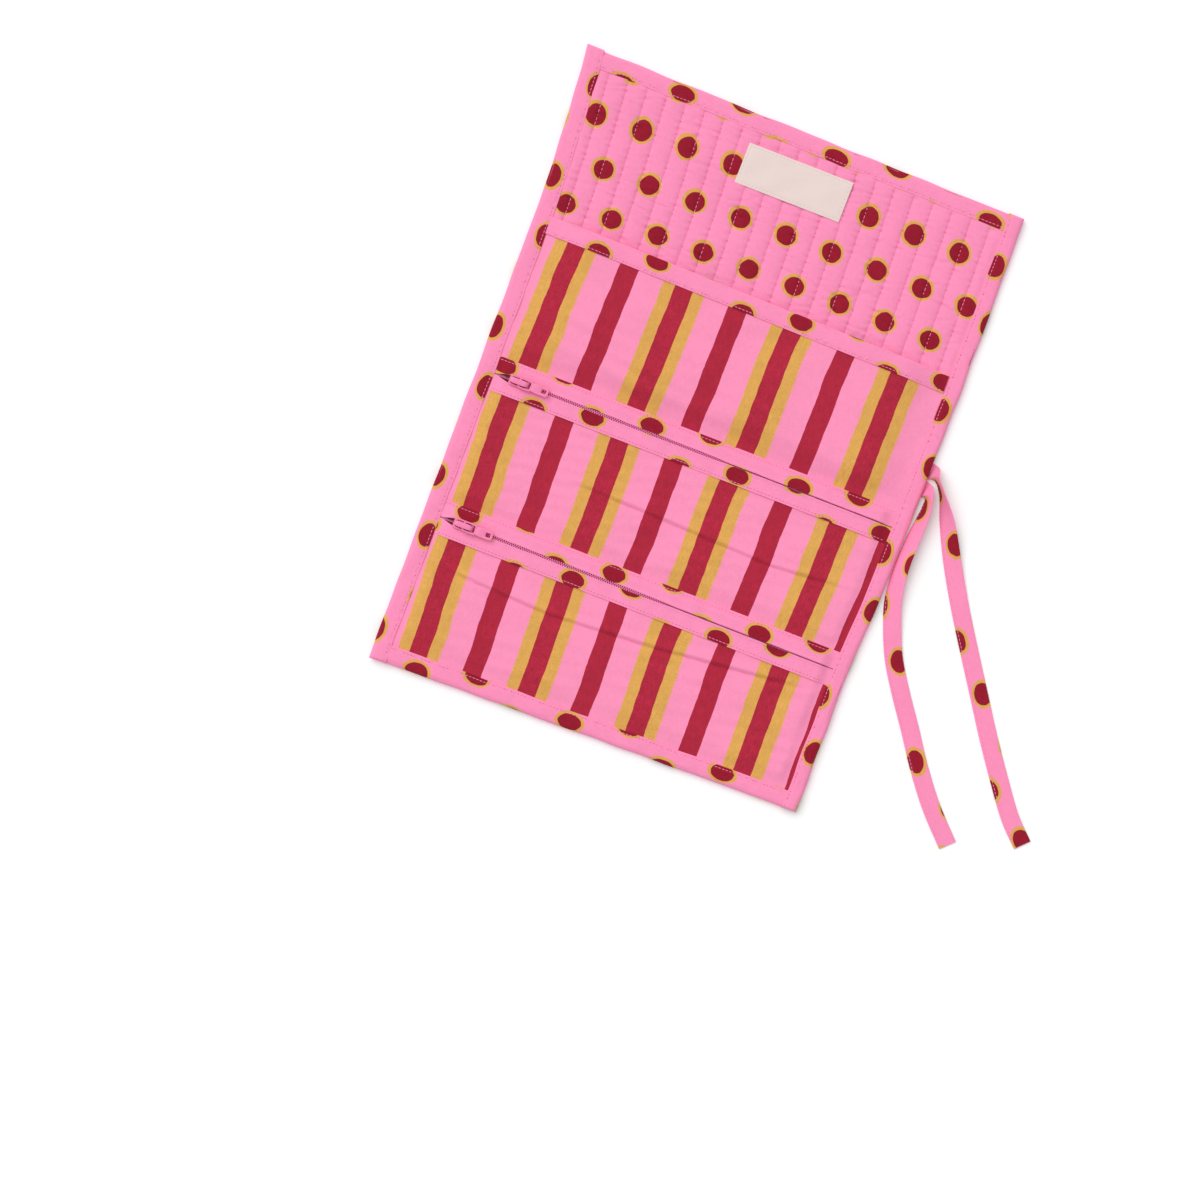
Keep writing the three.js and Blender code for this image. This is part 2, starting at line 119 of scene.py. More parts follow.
class Rumple:
    """Uneven lie of cloth: a sum of plane waves with seeded lengths, headings and phases."""

    def __init__(self, seed: int, waves: Pair, depth: float,
                 heading: float = 0.0, spread: float = 180.0, count: int = 14) -> None:
        """Draws the waves once.

        Args:
            seed: number that fixes the draw.
            waves: shortest and longest wave length.
            depth: root mean square height.
            heading: direction the waves travel in, in degrees from X.
            spread: how far a heading may turn to either side, in degrees.
            count: number of waves.
        """
        draw = np.random.default_rng(seed)
        turn = np.radians(heading + draw.uniform(-spread, spread, count))
        rate = 2.0 * np.pi / draw.uniform(waves[0], waves[1], count)
        self.rates = np.stack([np.cos(turn) * rate, np.sin(turn) * rate])
        self.phases = draw.uniform(0.0, 2.0 * np.pi, count)
        self.depth = depth * math.sqrt(2.0 / count)

    def __call__(self, x: Array, y: Array) -> Array:
        """Height at each point: depth times the sum of sin(rate . point + phase)."""
        place = np.stack(np.broadcast_arrays(np.asarray(x, float), np.asarray(y, float)), -1)
        return self.depth * np.sin(place @ self.rates + self.phases).sum(-1)


class Creases:
    """Thin creases in patches.

    They run where one field of waves passes through zero, and a slower field lets them show.
    """

    WAVES: ClassVar[int] = 9
    PATCHES: ClassVar[Pair] = (25.0, 60.0)
    PATCH_SEED: ClassVar[int] = 500
    SHOWING: ClassVar[float] = 0.5
    FADE: ClassVar[float] = 1.2

    def __init__(self, seed: int, apart: Pair, depth: float,
                 heading: float, spread: float, width: float) -> None:
        """Draws both fields.

        Args:
            seed: number that fixes the draw.
            apart: shortest and longest wave length of the creases' field.
            depth: depth of a full crease.
            heading: direction across the creases, in degrees from X.
            spread: how far it may turn to either side, in degrees.
            width: share of the field's height that a crease takes in.
        """
        self.field = Rumple(seed, apart, 1.0, heading, spread, self.WAVES)
        self.patch = Rumple(seed + self.PATCH_SEED, self.PATCHES, 1.0, count=self.WAVES)
        self.depth = depth
        self.width = width

    def __call__(self, x: Array, y: Array) -> Array:
        """Height at each point: minus depth times a bell of the field and a smooth step of the patches."""
        shown = ease(self.patch(x, y) + self.SHOWING, self.FADE)
        return -self.depth * bell(self.field(x, y), self.width) * shown


# Surfaces


class Ends(Enum):
    """How the two ends of a lofted surface are closed."""

    CAPPED = "capped"
    LOOPED = "looped"


@dataclass
class Skin:
    """One piece's surface.

    Attributes:
        points: its points in millimetres.
        quads: the four points of each face.
        cloth: place on the printed cloth of each face's corners.
    """

    points: Array
    quads: Array
    cloth: Array

    def facing_out(self) -> "Skin":
        """The same surface with its faces turned outwards, by the sign of the volume it holds.

        Returns:
            This surface, or a copy with its faces the other way round.
        """
        a, b, c, d = (self.points[self.quads[:, k]] for k in range(4))
        volume = np.einsum("ij,ij->", a, np.cross(b, c) + np.cross(c, d))
        if volume >= 0.0:
            return self
        return Skin(self.points, self.quads[:, ::-1], self.cloth[:, ::-1])

    @staticmethod
    def joined(*skins: "Skin") -> "Skin":
        """One surface that holds all the given ones side by side.

        Args:
            *skins: the surfaces.

        Returns:
            The joint surface.
        """
        starts = np.cumsum([0, *(len(skin.points) for skin in skins[:-1])])
        quads = [skin.quads + start for skin, start in zip(skins, starts)]
        points = np.concatenate([skin.points for skin in skins])
        return Skin(points, np.concatenate(quads), np.concatenate([skin.cloth for skin in skins]))


def closed(rings: Array) -> Array:
    """Rings with the first place of each repeated at its end."""
    return np.concatenate([rings, rings[:, :1]], axis=1)


def loft(rings: Array, marks: Optional[Array] = None, ends: Ends = Ends.CAPPED) -> Skin:
    """Closed surface through a row of rings with the same number of points.

    Quad (j, k) joins points k and k + 1 of rings j and j + 1. A capped end is a ladder of quads between the
    first half of its ring and the second half; looped ends join the last ring to the first.

    Args:
        rings: points, by ring, by place round the ring, by coordinate.
        marks: place on the cloth of each point, with the first point of a ring repeated at its end.
        ends: how the ends are closed.

    Returns:
        The surface with its faces outwards.
    """
    count, around = rings.shape[:2]
    if marks is None:
        marks = closed(rings)[..., :2]
    joins = count if ends is Ends.LOOPED else count - 1
    j, k = np.meshgrid(np.arange(joins), np.arange(around), indexing="ij")
    after = (j + 1) % count
    beside = (k + 1) % around
    corners = [j * around + k, j * around + beside, after * around + beside, after * around + k]
    prints = [marks[j, k], marks[j, k + 1], marks[after, k + 1], marks[after, k]]
    quads = [np.stack(corners, -1).reshape(-1, 4)]
    cloth = [np.stack(prints, 2).reshape(-1, 4, 2)]
    if ends is Ends.CAPPED:
        rung = np.arange(around // 2 - 1)
        ladder = np.stack([rung, rung + 1, around - 2 - rung, around - 1 - rung], -1)
        quads += [ladder[:, ::-1], ladder + (count - 1) * around]
        cloth += [marks[0][ladder[:, ::-1]], marks[-1][ladder]]
    return Skin(rings.reshape(-1, 3), np.concatenate(quads), np.concatenate(cloth)).facing_out()


@dataclass(frozen=True)
class Cut:
    """How a piece was cut from its printed cloth.

    Attributes:
        mark: place on the piece, along and across it, of one dot's centre or one stripe's start.
        turn: angle between the piece and the print, in degrees.
        stretch: how far the piece was drawn out along its length; it narrows as much across.
        lean: slope of the print at the piece's left side; it fades to none at the right side.
        bow: how far the print's rows sag a hundred millimetres from the middle.
        spread: how much its rows open out for each millimetre upwards.
        fan: how much the rows above the mark rise towards the left, for each millimetre both ways.
        gather: how much cloth is drawn in beside the piece's right end.
    """

    WIDTH: ClassVar[float] = 220.0
    BOW_REACH: ClassVar[float] = 100.0
    GATHERED: ClassVar[Pair] = (96.0, 14.0)

    mark: Pair = (0.0, 0.0)
    turn: float = 0.0
    stretch: float = 1.0
    lean: float = 0.0
    bow: float = 0.0
    spread: float = 0.0
    fan: float = 0.0
    gather: float = 0.0

    def lay(self, along: Array, across: Array) -> Array:
        """Place on the cloth: the distance from the mark, relaxed by the stretch and turned to the print.

        Args:
            along: places along the piece.
            across: places across the piece.

        Returns:
            Both cloth coordinates in a last axis of two.
        """
        start, length = self.GATHERED
        off = across - self.mark[1]
        drawn = self.lean * off * (0.5 - along / self.WIDTH) + self.gather * ease(along - start, length)
        a = (along - self.mark[0] + drawn) / self.stretch
        b = off * self.stretch * (1.0 - self.spread * off) + self.bow * (along / self.BOW_REACH) ** 2
        b = b + self.fan * np.minimum(along, 0.0) * np.maximum(off, 0.0)
        c, s = math.cos(math.radians(self.turn)), math.sin(math.radians(self.turn))
        return np.stack([a * c - b * s, a * s + b * c], -1)


def sheet(x: Array, y: Array, over: Array, under: Array, cut: Cut) -> Skin:
    """Cloth with two faces over a grid of places, closed round its edges.

    Each grid row gives one ring: the face from left to right, then the back from right to left.

    Args:
        x: grid of places along X, by row.
        y: grid of places along Y, by row.
        over: height of the face.
        under: height of the back.
        cut: how the print lies on it.

    Returns:
        The closed surface.
    """
    face = np.stack([x, y, over], -1)
    back = np.stack([x, y, under], -1)[:, ::-1]
    rings = np.concatenate([face, back], axis=1)
    places = closed(rings)
    return loft(rings, cut.lay(places[..., 0], places[..., 1]))


def copies(shape: Skin, places: Array, along: Array, up: Array, sizes: Array, mark: float = 0.0) -> Skin:
    """Many copies of a small surface, each turned to its own direction and stretched to its own length.

    Point p of the shape goes to place + p_x * size * along + p_y * side + p_z * up, with side = up x along.

    Args:
        shape: the small surface, drawn along X with Z up.
        places: where each copy stands.
        along: unit direction of each copy's X.
        up: unit direction of each copy's Z.
        sizes: stretch of each copy along its X.
        mark: first cloth coordinate of all the copies.

    Returns:
        All the copies as one surface.
    """
    side = np.cross(up, along)
    p = shape.points[None]
    spread = p[..., :1] * sizes[:, None, None] * along[:, None]
    points = places[:, None] + spread + p[..., 1:2] * side[:, None] + p[..., 2:] * up[:, None]
    number = len(places)
    quads = shape.quads[None] + np.arange(number)[:, None, None] * len(shape.points)
    cloth = np.broadcast_to(np.array([mark, 0.0]), (number, *shape.cloth.shape))
    return Skin(points.reshape(-1, 3), quads.reshape(-1, 4), cloth.reshape(-1, 4, 2))


def bead(x: Array, half: Array, tall: Array, middle: Array) -> Skin:
    """Small bar along X with an ellipse of a few sides at each station.

    Args:
        x: the stations.
        half: half width at each station.
        tall: half height at each station.
        middle: height of its middle line at each station.

    Returns:
        The closed bar.
    """
    angle = turns(THREAD_SIDES, 0.5)
    y = half[:, None] * np.cos(angle)
    z = middle[:, None] + tall[:, None] * np.sin(angle)
    return loft(np.stack([np.broadcast_to(x[:, None], y.shape), y, z], -1))


def stitch_shape(width: float, height: float) -> Skin:
    """One stitch, one unit long: a thread that rises out of the cloth, runs over it and dives back.

    Stations t go from -1 to 1; the thread's radius is (1 - t^6)^(1/2) of its middle one, and its middle line
    drops by t^2 of the height.

    Args:
        width: thread width across the stitch.
        height: how far the thread stands out of the cloth at its middle.

    Returns:
        The surface of the stitch.
    """
    t = np.array([-1.0, -0.75, -0.3, 0.3, 0.75, 1.0])
    swell = np.sqrt(np.clip(1.0 - t**6, 0.04, 1.0))
    return bead(0.5 * t, 0.5 * width * swell, 0.5 * height * swell, height * (0.45 - t**2))


def hole_shape(size: float) -> Skin:
    """One needle hole: a low dome, as long as wide, whose rings shrink as a half ellipse does.

    Args:
        size: its length and width.

    Returns:
        The surface of the hole.
    """
    t = np.array([-1.0, -0.5, 0.5, 1.0])
    swell = np.sqrt(np.clip(1.0 - t**2, 0.05, 1.0))
    return bead(0.5 * size * t, 0.5 * size * swell, 0.16 * size * swell, np.zeros_like(t))


# The case's lines, and how its cloth settled


class Fold(Enum):
    """The three folds: the body below, the body above, and the two lines that the cloth bends between."""

    FLAP = ("slip_section", "flap_section", 69.6, 92.6)
    UPPER = ("zip1_section", "slip_section", -7.3, 6.3)
    LOWER = ("zip2_section", "zip1_section", -87.0, -73.6)

    def __init__(self, below: str, above: str, start: float, end: float) -> None:
        """Names the parts of a fold: the body below, the body above, and the bend's lower and upper line."""
        self.below, self.above = below, above
        self.start, self.end = start, end

    def carry(self, made: bpy.types.Object) -> None:
        """Bakes a piece's placement into its mesh; the piece is not bent."""
        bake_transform(made)

    def rows(self, low: float, high: float, step: float) -> Array:
        """Grid lines from low to high, no further apart than the step, and closer where the cloth bends."""
        bend = lines((self.start, self.end), BEND_STEP)
        return np.concatenate([lines((low, self.start), step)[:-1], bend, lines((self.end, high), step)[1:]])


class Run(Enum):
    """The three lengths of cloth along the case: name, lowest and highest line, fold, and sections."""

    UPPER = ("upper", 40.0, 165.9, Fold.FLAP, ("flap", "slip"))
    MIDDLE = ("middle", -40.0, 40.0, Fold.UPPER, ("zip1",))
    LOWER = ("lower", -165.9, -40.0, Fold.LOWER, ("zip2",))

    def __init__(self, label: str, low: float, high: float, fold: Fold, sections: tuple[str, ...]) -> None:
        """Names the parts of a length: its label, lowest and highest line, fold, and its nodes' prefixes."""
        self.label, self.sections = label, sections
        self.low, self.high, self.fold = low, high, fold

    def nodes(self, *layers: str) -> list[str]:
        """The frame's nodes of the given layers in this length."""
        return [f"{section}_{layer}" for section in self.sections for layer in layers]


@dataclass(frozen=True)
class Outline:
    """Lines of the opened case, and the small departures of the sewn one from them.

    A departure is an amount and the line where it begins, in places with the length over which it grows.
    """

    # From the middle line to the side edge, the binding's inner edge, the pockets' seam and the inner cloth
    half: float = 120.0
    bound: float = 110.6
    sewn: float = 110.3
    reach: float = 118.9
    # The flap's free edge, as far from the middle as the bottom edge, and the slip pocket's mouth
    top: float = 167.0
    mouth: float = 75.6
    # The left edge spreads at its top corner and draws in towards the bottom
    corner_flare: float = 6.2
    flare_from: float = 70.0
    left_lean: float = 3.0
    lean_from: float = 75.0
    # The right edge stands out, and dips at the top and along the pockets
    right_out: float = 0.6
    right_dip: float = 1.9
    dip_from: float = 60.0
    pocket_dip: Pair = (-35.0, 55.0)
    pocket_back: Triple = (-100.0, 60.0, 0.4)
    # Slope and drop of the top edge, then of the bottom edge
    top_tilt: float = -0.012
    tilt_from: Pair = (8.0, 60.0)
    top_drop: Triple = (90.0, 70.0, 0.7)
    end_tilt: float = 0.022
    end_from: float = -99.0
    end_drop: float = 0.9

    def left_edge(self, y: Array) -> Array:
        """How far the left edge lies to the right of its straight line.

        Args:
            y: lines along the edge.

        Returns:
            The offsets: a steady lean to the bottom, and a flare that grows as the power 1.6 to the top.
        """
        lean = np.clip((self.lean_from - y) / (self.lean_from + self.top), 0.0, 1.0)
        flare = np.clip((y - self.flare_from) / (self.top - self.flare_from), 0.0, 1.05)
        return self.left_lean * lean - self.corner_flare * flare**1.6

    def right_edge(self, y: Array) -> Array:
        """How far the right edge lies to the right of its straight line.

        Args:
            y: lines along the edge.

        Returns:
            The offsets: a dip that grows as the power 1.5 to the top, and one along the pockets.
        """
        top = np.clip((y - self.dip_from) / (self.top - self.dip_from), 0.0, 1.05)
        start, length = self.pocket_dip
        back, back_length, share = self.pocket_back
        pockets = ease(start - y, length) * (1.0 - share * ease(back - y, back_length))
        return self.right_out - self.right_dip * top**1.5 - self.right_dip * pockets

    def settle(self, points: Array) -> Array:
        """Moves points of the ideal case to where the sewn cloth lies.

        Along X the left and right edges' offsets are mixed by the place between them. Along Y the edges tilt,
        and the tilt fades to none between the slip pocket's bottom and the lower pocket's top.

        Args:
            points: places on the ideal case.

        Returns:
            The same points, moved.
        """
        x, y = points[:, 0], points[:, 1]
        share = np.clip(0.5 + x / (2.0 * self.half), -0.05, 1.05)
        start, length = self.tilt_from
        drop_start, drop_length, drop = self.top_drop
        upper = ease(y - start, length) * (self.top_tilt * x - drop * ease(y - drop_start, drop_length))
        lower = np.clip((self.end_from - y) / (self.end_from + self.top), 0.0, 1.1)
        moved = points.copy()
        moved[:, 0] = x + self.left_edge(y) * (1.0 - share) + self.right_edge(y) * share
        moved[:, 1] = y + upper + lower * (self.end_tilt * x - self.end_drop)
        return moved


OUTLINE = Outline()


# Finishes


Term = Union["Wire", float]


class Wire:
    """A socket that carries a value; arithmetic on it adds Math nodes."""

    def __init__(self, dye: "Dye", socket: Optional[bpy.types.NodeSocket]) -> None:
        """Holds an output socket of a material, or none for a node that has no output."""
        self.dye = dye
        self.socket = socket

    def _math(self, operation: str, *terms: Term) -> "Wire":
        """Adds one Math node with the terms on its sockets in order."""
        return self.dye.node("ShaderNodeMath", {"operation": operation}, dict(enumerate(terms)))

    def __add__(self, other: Term) -> "Wire":
        """Sum."""
        return self._math("ADD", self, other)

    def __radd__(self, other: Term) -> "Wire":
        """Sum with a number on the left."""
        return self._math("ADD", other, self)

    def __sub__(self, other: Term) -> "Wire":
        """Difference."""
        return self._math("SUBTRACT", self, other)

    def __rsub__(self, other: Term) -> "Wire":
        """Difference from a number on the left."""
        return self._math("SUBTRACT", other, self)

    def __mul__(self, other: Term) -> "Wire":
        """Product."""
        return self._math("MULTIPLY", self, other)

    def __rmul__(self, other: Term) -> "Wire":
        """Product with a number on the left."""
        return self._math("MULTIPLY", other, self)

    def __truediv__(self, other: Term) -> "Wire":
        """Quotient."""
        return self._math("DIVIDE", self, other)

    def __rtruediv__(self, other: Term) -> "Wire":
        """Quotient of a number on the left."""
        return self._math("DIVIDE", other, self)

    def __pow__(self, other: Term) -> "Wire":
        """Power."""
        return self._math("POWER", self, other)

    def __abs__(self) -> "Wire":
        """Size without sign."""
        return self._math("ABSOLUTE", self)

    def wrap(self, low: float, high: float) -> "Wire":
        """The value brought into one period from low to high."""
        return self._math("WRAP", self, high, low)

    def least(self, other: Term) -> "Wire":
        """The smaller of two values."""
        return self._math("MINIMUM", self, other)

    def most(self, other: Term) -> "Wire":
        """The larger of two values."""
        return self._math("MAXIMUM", self, other)

    def clip(self) -> "Wire":
        """The value held between 0 and 1."""
        return self.most(0.0).least(1.0)

    def sine(self) -> "Wire":
        """Sine of the value in radians."""
        return self._math("SINE", self)


class Dye:
    """Builds the nodes of one material."""

    def __init__(self, name: str) -> None:
        """Starts a material with no nodes.

        Args:
            name: the material's name.
        """
        self.material = bpy.data.materials.new(name)
        self.material.use_nodes = True
        self.tree = self.material.node_tree
        self.tree.nodes.clear()

    def node(self, kind: str, settings: Optional[dict[str, Any]] = None,
             sockets: Optional[dict[Union[int, str], Any]] = None, out: Union[int, str] = 0) -> Wire:
        """Adds one node: its settings first, then the values or links of its sockets.

        Args:
            kind: type name of the node.
            settings: the node's own properties.
            sockets: a number, colour, vector or wire for each named or numbered input.
            out: name or number of the output that is wanted.

        Returns:
            That output, or an empty wire where the node has none.
        """
        made = self.tree.nodes.new(kind)
        for name, value in (settings or {}).items():
            setattr(made, name, value)
        for key, value in (sockets or {}).items():
            if isinstance(value, Wire):
                self.tree.links.new(value.socket, made.inputs[key])
            else:
                made.inputs[key].default_value = value
        return Wire(self, made.outputs[out] if len(made.outputs) else None)

    def axis(self, vector: Wire, name: str) -> Wire:
        """One coordinate of a vector."""
        return self.node("ShaderNodeSeparateXYZ", None, {0: vector}, name)

    def cloth(self) -> tuple[Wire, Wire]:
        """Both cloth coordinates of the piece, in millimetres."""
        place = self.node("ShaderNodeUVMap", {"uv_map": CLOTH_MAP})
        return self.axis(place, "X"), self.axis(place, "Y")

    def place(self) -> tuple[Wire, Wire, Wire]:
        """The three object coordinates, in metres."""
        place = self.node("ShaderNodeTexCoord", None, None, "Object")
        return self.axis(place, "X"), self.axis(place, "Y"), self.axis(place, "Z")

    def noise(self, x: Term, y: Term, z: Term = 0.0, detail: float = 2.0) -> Wire:
        """Noise from 0 to 1 whose grains are about one unit across."""
        vector = self.node("ShaderNodeCombineXYZ", None, {0: x, 1: y, 2: z})
        return self.node("ShaderNodeTexNoise", None, {"Vector": vector, "Scale": 1.0, "Detail": detail})

    def mix(self, first: Any, second: Any, share: Term, blend: str = "MIX") -> Wire:
        """Mix of two colours by a share."""
        settings = {"data_type": "RGBA", "blend_type": blend}
        return self.node("ShaderNodeMix", settings, {0: share, 6: first, 7: second}, 2)

    def shaded(self, colour: Any, shade: Term) -> Wire:
        """A colour made darker or paler by a factor."""
        return self.mix(colour, shade, 1.0, "MULTIPLY")

    def bump(self, height: Wire, distance: float, strength: float) -> Wire:
        """Normal from a height, where a height of 1 stands the distance in metres."""
        sockets = {"Height": height, "Distance": distance, "Strength": strength}
        return self.node("ShaderNodeBump", None, sockets)

    def surface(self, **sockets: Any) -> Material:
        """Closes the material with one shader.

        Args:
            **sockets: shader inputs by name, with an underscore for each space.

        Returns:
            The finished material.
        """
        named = {key.replace("_", " "): value for key, value in sockets.items()}
        shader = self.node("ShaderNodeBsdfPrincipled", None, named)
        self.node("ShaderNodeOutputMaterial", None, {"Surface": shader})
        return self.material


@dataclass(frozen=True)
class Weave:
    """Plain cotton weave: its threads' pitch, tone, slub and relief, and the slubs' grains both ways."""

    pitch: float = 0.42
    tone: float = 0.5
    slub: float = 0.8
    relief: float = 0.00009
    fine: float = 1.9
    drawn: float = 0.22

    def printed(self, dye: Dye, u: Wire, v: Wire, ink: Wire, cover: Wire) -> Material:
        """Closes a print: its ink takes the threads' tone, more so where it covers the ground.

        Slubs are noise drawn out along each thread direction; the weave is the product of two sines at the
        pitch.

        Args:
            dye: the material being built.
            u: cloth coordinate across the warp.
            v: cloth coordinate along the warp.
            ink: the print's colour.
            cover: how much more than the bare ground the ink shows the threads.

        Returns:
            The finished material.
        """
        warp = dye.noise(u * self.fine, v * self.drawn, 0.0, 3.0)
        weft = dye.noise(u * self.drawn, v * self.fine, 7.0, 3.0)
        broad = dye.noise(u * 0.05, v * 0.05, 3.0, 2.0)
        tone = warp * 0.45 + weft * 0.35 + broad * 0.2 - 0.5
        rate = 2.0 * math.pi / self.pitch
        knots = (u * rate).sine() * (v * rate).sine()
        height = knots * 0.2 + (warp + weft) * self.slub * 0.5
        shade = dye.shaded(ink, (cover + 1.0) * tone * self.tone + 1.0)
        normal = dye.bump(height, self.relief, 0.55)
        return dye.surface(Base_Color=shade, Roughness=tone * 0.12 + 0.86, Normal=normal,
                           Sheen_Weight=0.06, Sheen_Roughness=0.5, Specular_IOR_Level=0.12)


@dataclass(frozen=True)
class DotPrint:
    """Pink cotton with ringed dots in staggered rows.

    Each dot is printed a little off its ring, and both edges wander. Uneven counts the bumps of an edge, and
    crisp is how fast its ink ends, for each millimetre.
    """

    name: str = "dot_print"
    pitch: float = 25.1
    row: float = 24.1
    ring: float = 6.8
    disc: float = 5.3
    shift: Pair = (0.22, -0.18)
    uneven: float = 0.2
    wobble: float = 1.1
    smudge: float = 1.2
    crisp: float = 4.0
    ground: Colour = (253, 146, 188)
    ring_ink: Colour = (223, 168, 87)
    disc_ink: Colour = (150, 24, 45)
    weave: Weave = Weave()

    def dress(self) -> Material:
        """Material: distance to the nearest dot's centre, cut at the ring's and the dot's radius.

        Returns:
            The finished material.
        """
        dye = Dye(self.name)
        u, v = dye.cloth()
        wobble = dye.noise(u * self.uneven, v * self.uneven, 0.0, 1.5) - 0.5
        smudge = dye.noise(u * self.uneven, v * self.uneven, 5.0, 1.5) - 0.5
        ring = self.ring - self.nearest(u, v, (0.0, 0.0)) + wobble * self.wobble
        disc = self.disc - self.nearest(u, v, self.shift) + smudge * self.smudge
        ring = (ring * self.crisp).clip()
        disc = (disc * self.crisp).clip()
        ink = dye.mix(linear(self.ground), linear(self.ring_ink), ring)
        ink = dye.mix(ink, linear(self.disc_ink), disc)
        return self.weave.printed(dye, u, v, ink, disc * 1.4 + ring * 0.6)

    def nearest(self, u: Wire, v: Wire, shift: Pair) -> Wire:
        """Distance to the nearest centre of two grids, one of them moved by half a pitch and one row.

        Args:
            u: cloth coordinate along the rows.
            v: cloth coordinate across the rows.
            shift: how far all the centres are moved.

        Returns:
            The distance in millimetres.
        """
        found = []
        for du, dv in ((0.0, 0.0), (0.5 * self.pitch, self.row)):
            a = (u + (du - shift[0])).wrap(-0.5 * self.pitch, 0.5 * self.pitch)
            b = (v + (dv - shift[1])).wrap(-self.row, self.row)
            found.append((a * a + b * b) ** 0.5)
        return found[0].least(found[1])


@dataclass(frozen=True)
class StripePrint:
    """Pink cotton with red and gold stripes along its length.

    A stripe is its middle, half width and soft edge. It wanders over short lengths and drifts over long ones.
    """

    name: str = "stripe_print"
    repeat: float = 60.8
    gold: Triple = (11.45, 11.45, 1.3)
    reds: tuple[Triple, ...] = ((11.45, 4.95, 0.22), (41.75, 5.15, 0.22))
    wander: float = 0.5
    drift: float = 2.6
    ground: Colour = (254, 149, 189)
    gold_ink: Colour = (223, 168, 87)
    red_ink: Colour = (177, 40, 63)
    weave: Weave = Weave()

    def dress(self) -> Material:
        """Material: place in one repeat, with a stripe where it lies within half a width of its middle.

        Returns:
            The finished material.
        """
        dye = Dye(self.name)
        u, v = dye.cloth()
        wander = dye.noise(u * 0.3, v * 0.3, 2.0, 3.0) - 0.5
        drift = dye.noise(u * 0.02, v * 0.045, 9.0, 1.0) - 0.5
        place = (u + wander * self.wander + drift * self.drift).wrap(0.0, self.repeat)
        gold = self.band(place, *self.gold)
        red = self.band(place, *self.reds[0]).most(self.band(place, *self.reds[1]))
        ink = dye.mix(linear(self.ground), linear(self.gold_ink), gold)
        ink = dye.mix(ink, linear(self.red_ink), red)
        return self.weave.printed(dye, u, v, ink, red * 1.7 + gold * 1.0)

    def band(self, place: Wire, middle: float, half: float, soft: float) -> Wire:
        """1 inside a stripe, 0 outside, with an edge that fades over the soft width."""
        return ((half - abs(place - middle)) / soft + 0.5).clip()


@dataclass(frozen=True)
class LabelWeave:
    """Bare woven label: fine ribs across it in undyed yarn, deeper between them."""

    name: str = "label_rib"
    yarn: Colour = (244, 226, 219)
    deep: Colour = (229, 206, 201)
    pitch: float = 0.5

    def dress(self) -> Material:
        """Material: ribs from a sine along Y, with yarn noise drawn out along X and along Y.

        Returns:
            The finished material.
        """
        dye = Dye(self.name)
        u, v = dye.cloth()
        yarn = dye.noise(u * 0.5, v * 4.0, 0.0, 3.0)
        cross = dye.noise(u * 4.0, v * 0.5, 4.0, 3.0)
        rib = (v * (2.0 * math.pi / self.pitch)).sine() * 0.5 + 0.5
        share = (rib * 0.3 + yarn * 0.5 + cross * 0.4 - 0.1).clip()
        shade = dye.mix(linear(self.deep), linear(self.yarn), share)
        normal = dye.bump(rib * 0.6 + yarn * 0.6, 0.0001, 0.6)
        return dye.surface(Base_Color=shade, Roughness=yarn * 0.1 + 0.8, Normal=normal,
                           Specular_IOR_Level=0.25)


@dataclass(frozen=True)
class ThreadTwist:
    """Sewing thread, and painted shade for the needle holes between its stitches; fine and skew are twist
    grains a metre.
    """

    name: str
    tint: Colour
    # Painted shade: the darker colour on the small domes that stand for the needle holes.
    hole: Colour
    fine: float = 3000.0
    skew: float = 2000.0

    def dress(self) -> Material:
        """Material: tone and bump from fine noise along the thread; cloth coordinate 1 marks a hole's painted
        shade.

        Returns:
            The finished material.
        """
        dye = Dye(self.name)
        hole_shade_mask, _ = dye.cloth()
        # Mixes the painted shade of the needle holes into the thread's colour.
        ink = dye.mix(linear(self.tint), linear(self.hole), hole_shade_mask)
        x, y, z = dye.place()
        twist = dye.noise(x * self.fine + y * self.skew, y * self.fine - x * self.skew, z * self.fine)
        shade = dye.shaded(ink, twist * 0.5 + 0.75)
        normal = dye.bump(twist, 0.00008, 0.6)
        return dye.surface(Base_Color=shade, Roughness=twist * 0.2 + 0.55, Normal=normal,
                           Specular_IOR_Level=0.3)


@dataclass(frozen=True)
class TapeWeave:
    """Zip tape: a herringbone weave, its tint painted shade far darker than the tape's own colour."""

    name: str = "tape_twill"
    # Painted shade: this tint is far darker than the tape itself, so the gap between the bands reads as
    # shadow.
    tint: Colour = (94, 26, 32)
    pitch: float = 0.6
    slope: float = 1.2

    def dress(self) -> Material:
        """Material: ribs whose slope turns over at each millimetre across the tape.

        Returns:
            The finished material.
        """
        dye = Dye(self.name)
        u, v = dye.cloth()
        slant = u + abs(v.wrap(-1.0, 1.0)) * self.slope
        ribs = (slant * (2.0 * math.pi / self.pitch)).sine() * 0.5 + 0.5
        fuzz = dye.noise(u * 3.0, v * 3.0)
        shade = dye.shaded(linear(self.tint), ribs * 0.25 + fuzz * 0.2 + 0.75)
        normal = dye.bump(ribs + fuzz * 0.4, 0.00012, 0.6)
        return dye.surface(Base_Color=shade, Roughness=fuzz * 0.2 + 0.7, Normal=normal,
                           Specular_IOR_Level=0.25)


@dataclass(frozen=True)
class CoilNylon:
    """Moulded nylon of the zip's coil."""

    name: str = "coil_nylon"
    tint: Colour = (240, 120, 174)

    def dress(self) -> Material:
        """Material: even plastic with faint draw lines.

        Returns:
            The finished material.
        """
        dye = Dye(self.name)
        x, y, _ = dye.place()
        draw = dye.noise(x * 900.0, y * 3500.0)
        shade = dye.shaded(linear(self.tint), draw * 0.4 + 0.8)
        return dye.surface(Base_Color=shade, Roughness=draw * 0.2 + 0.45, Specular_IOR_Level=0.25)


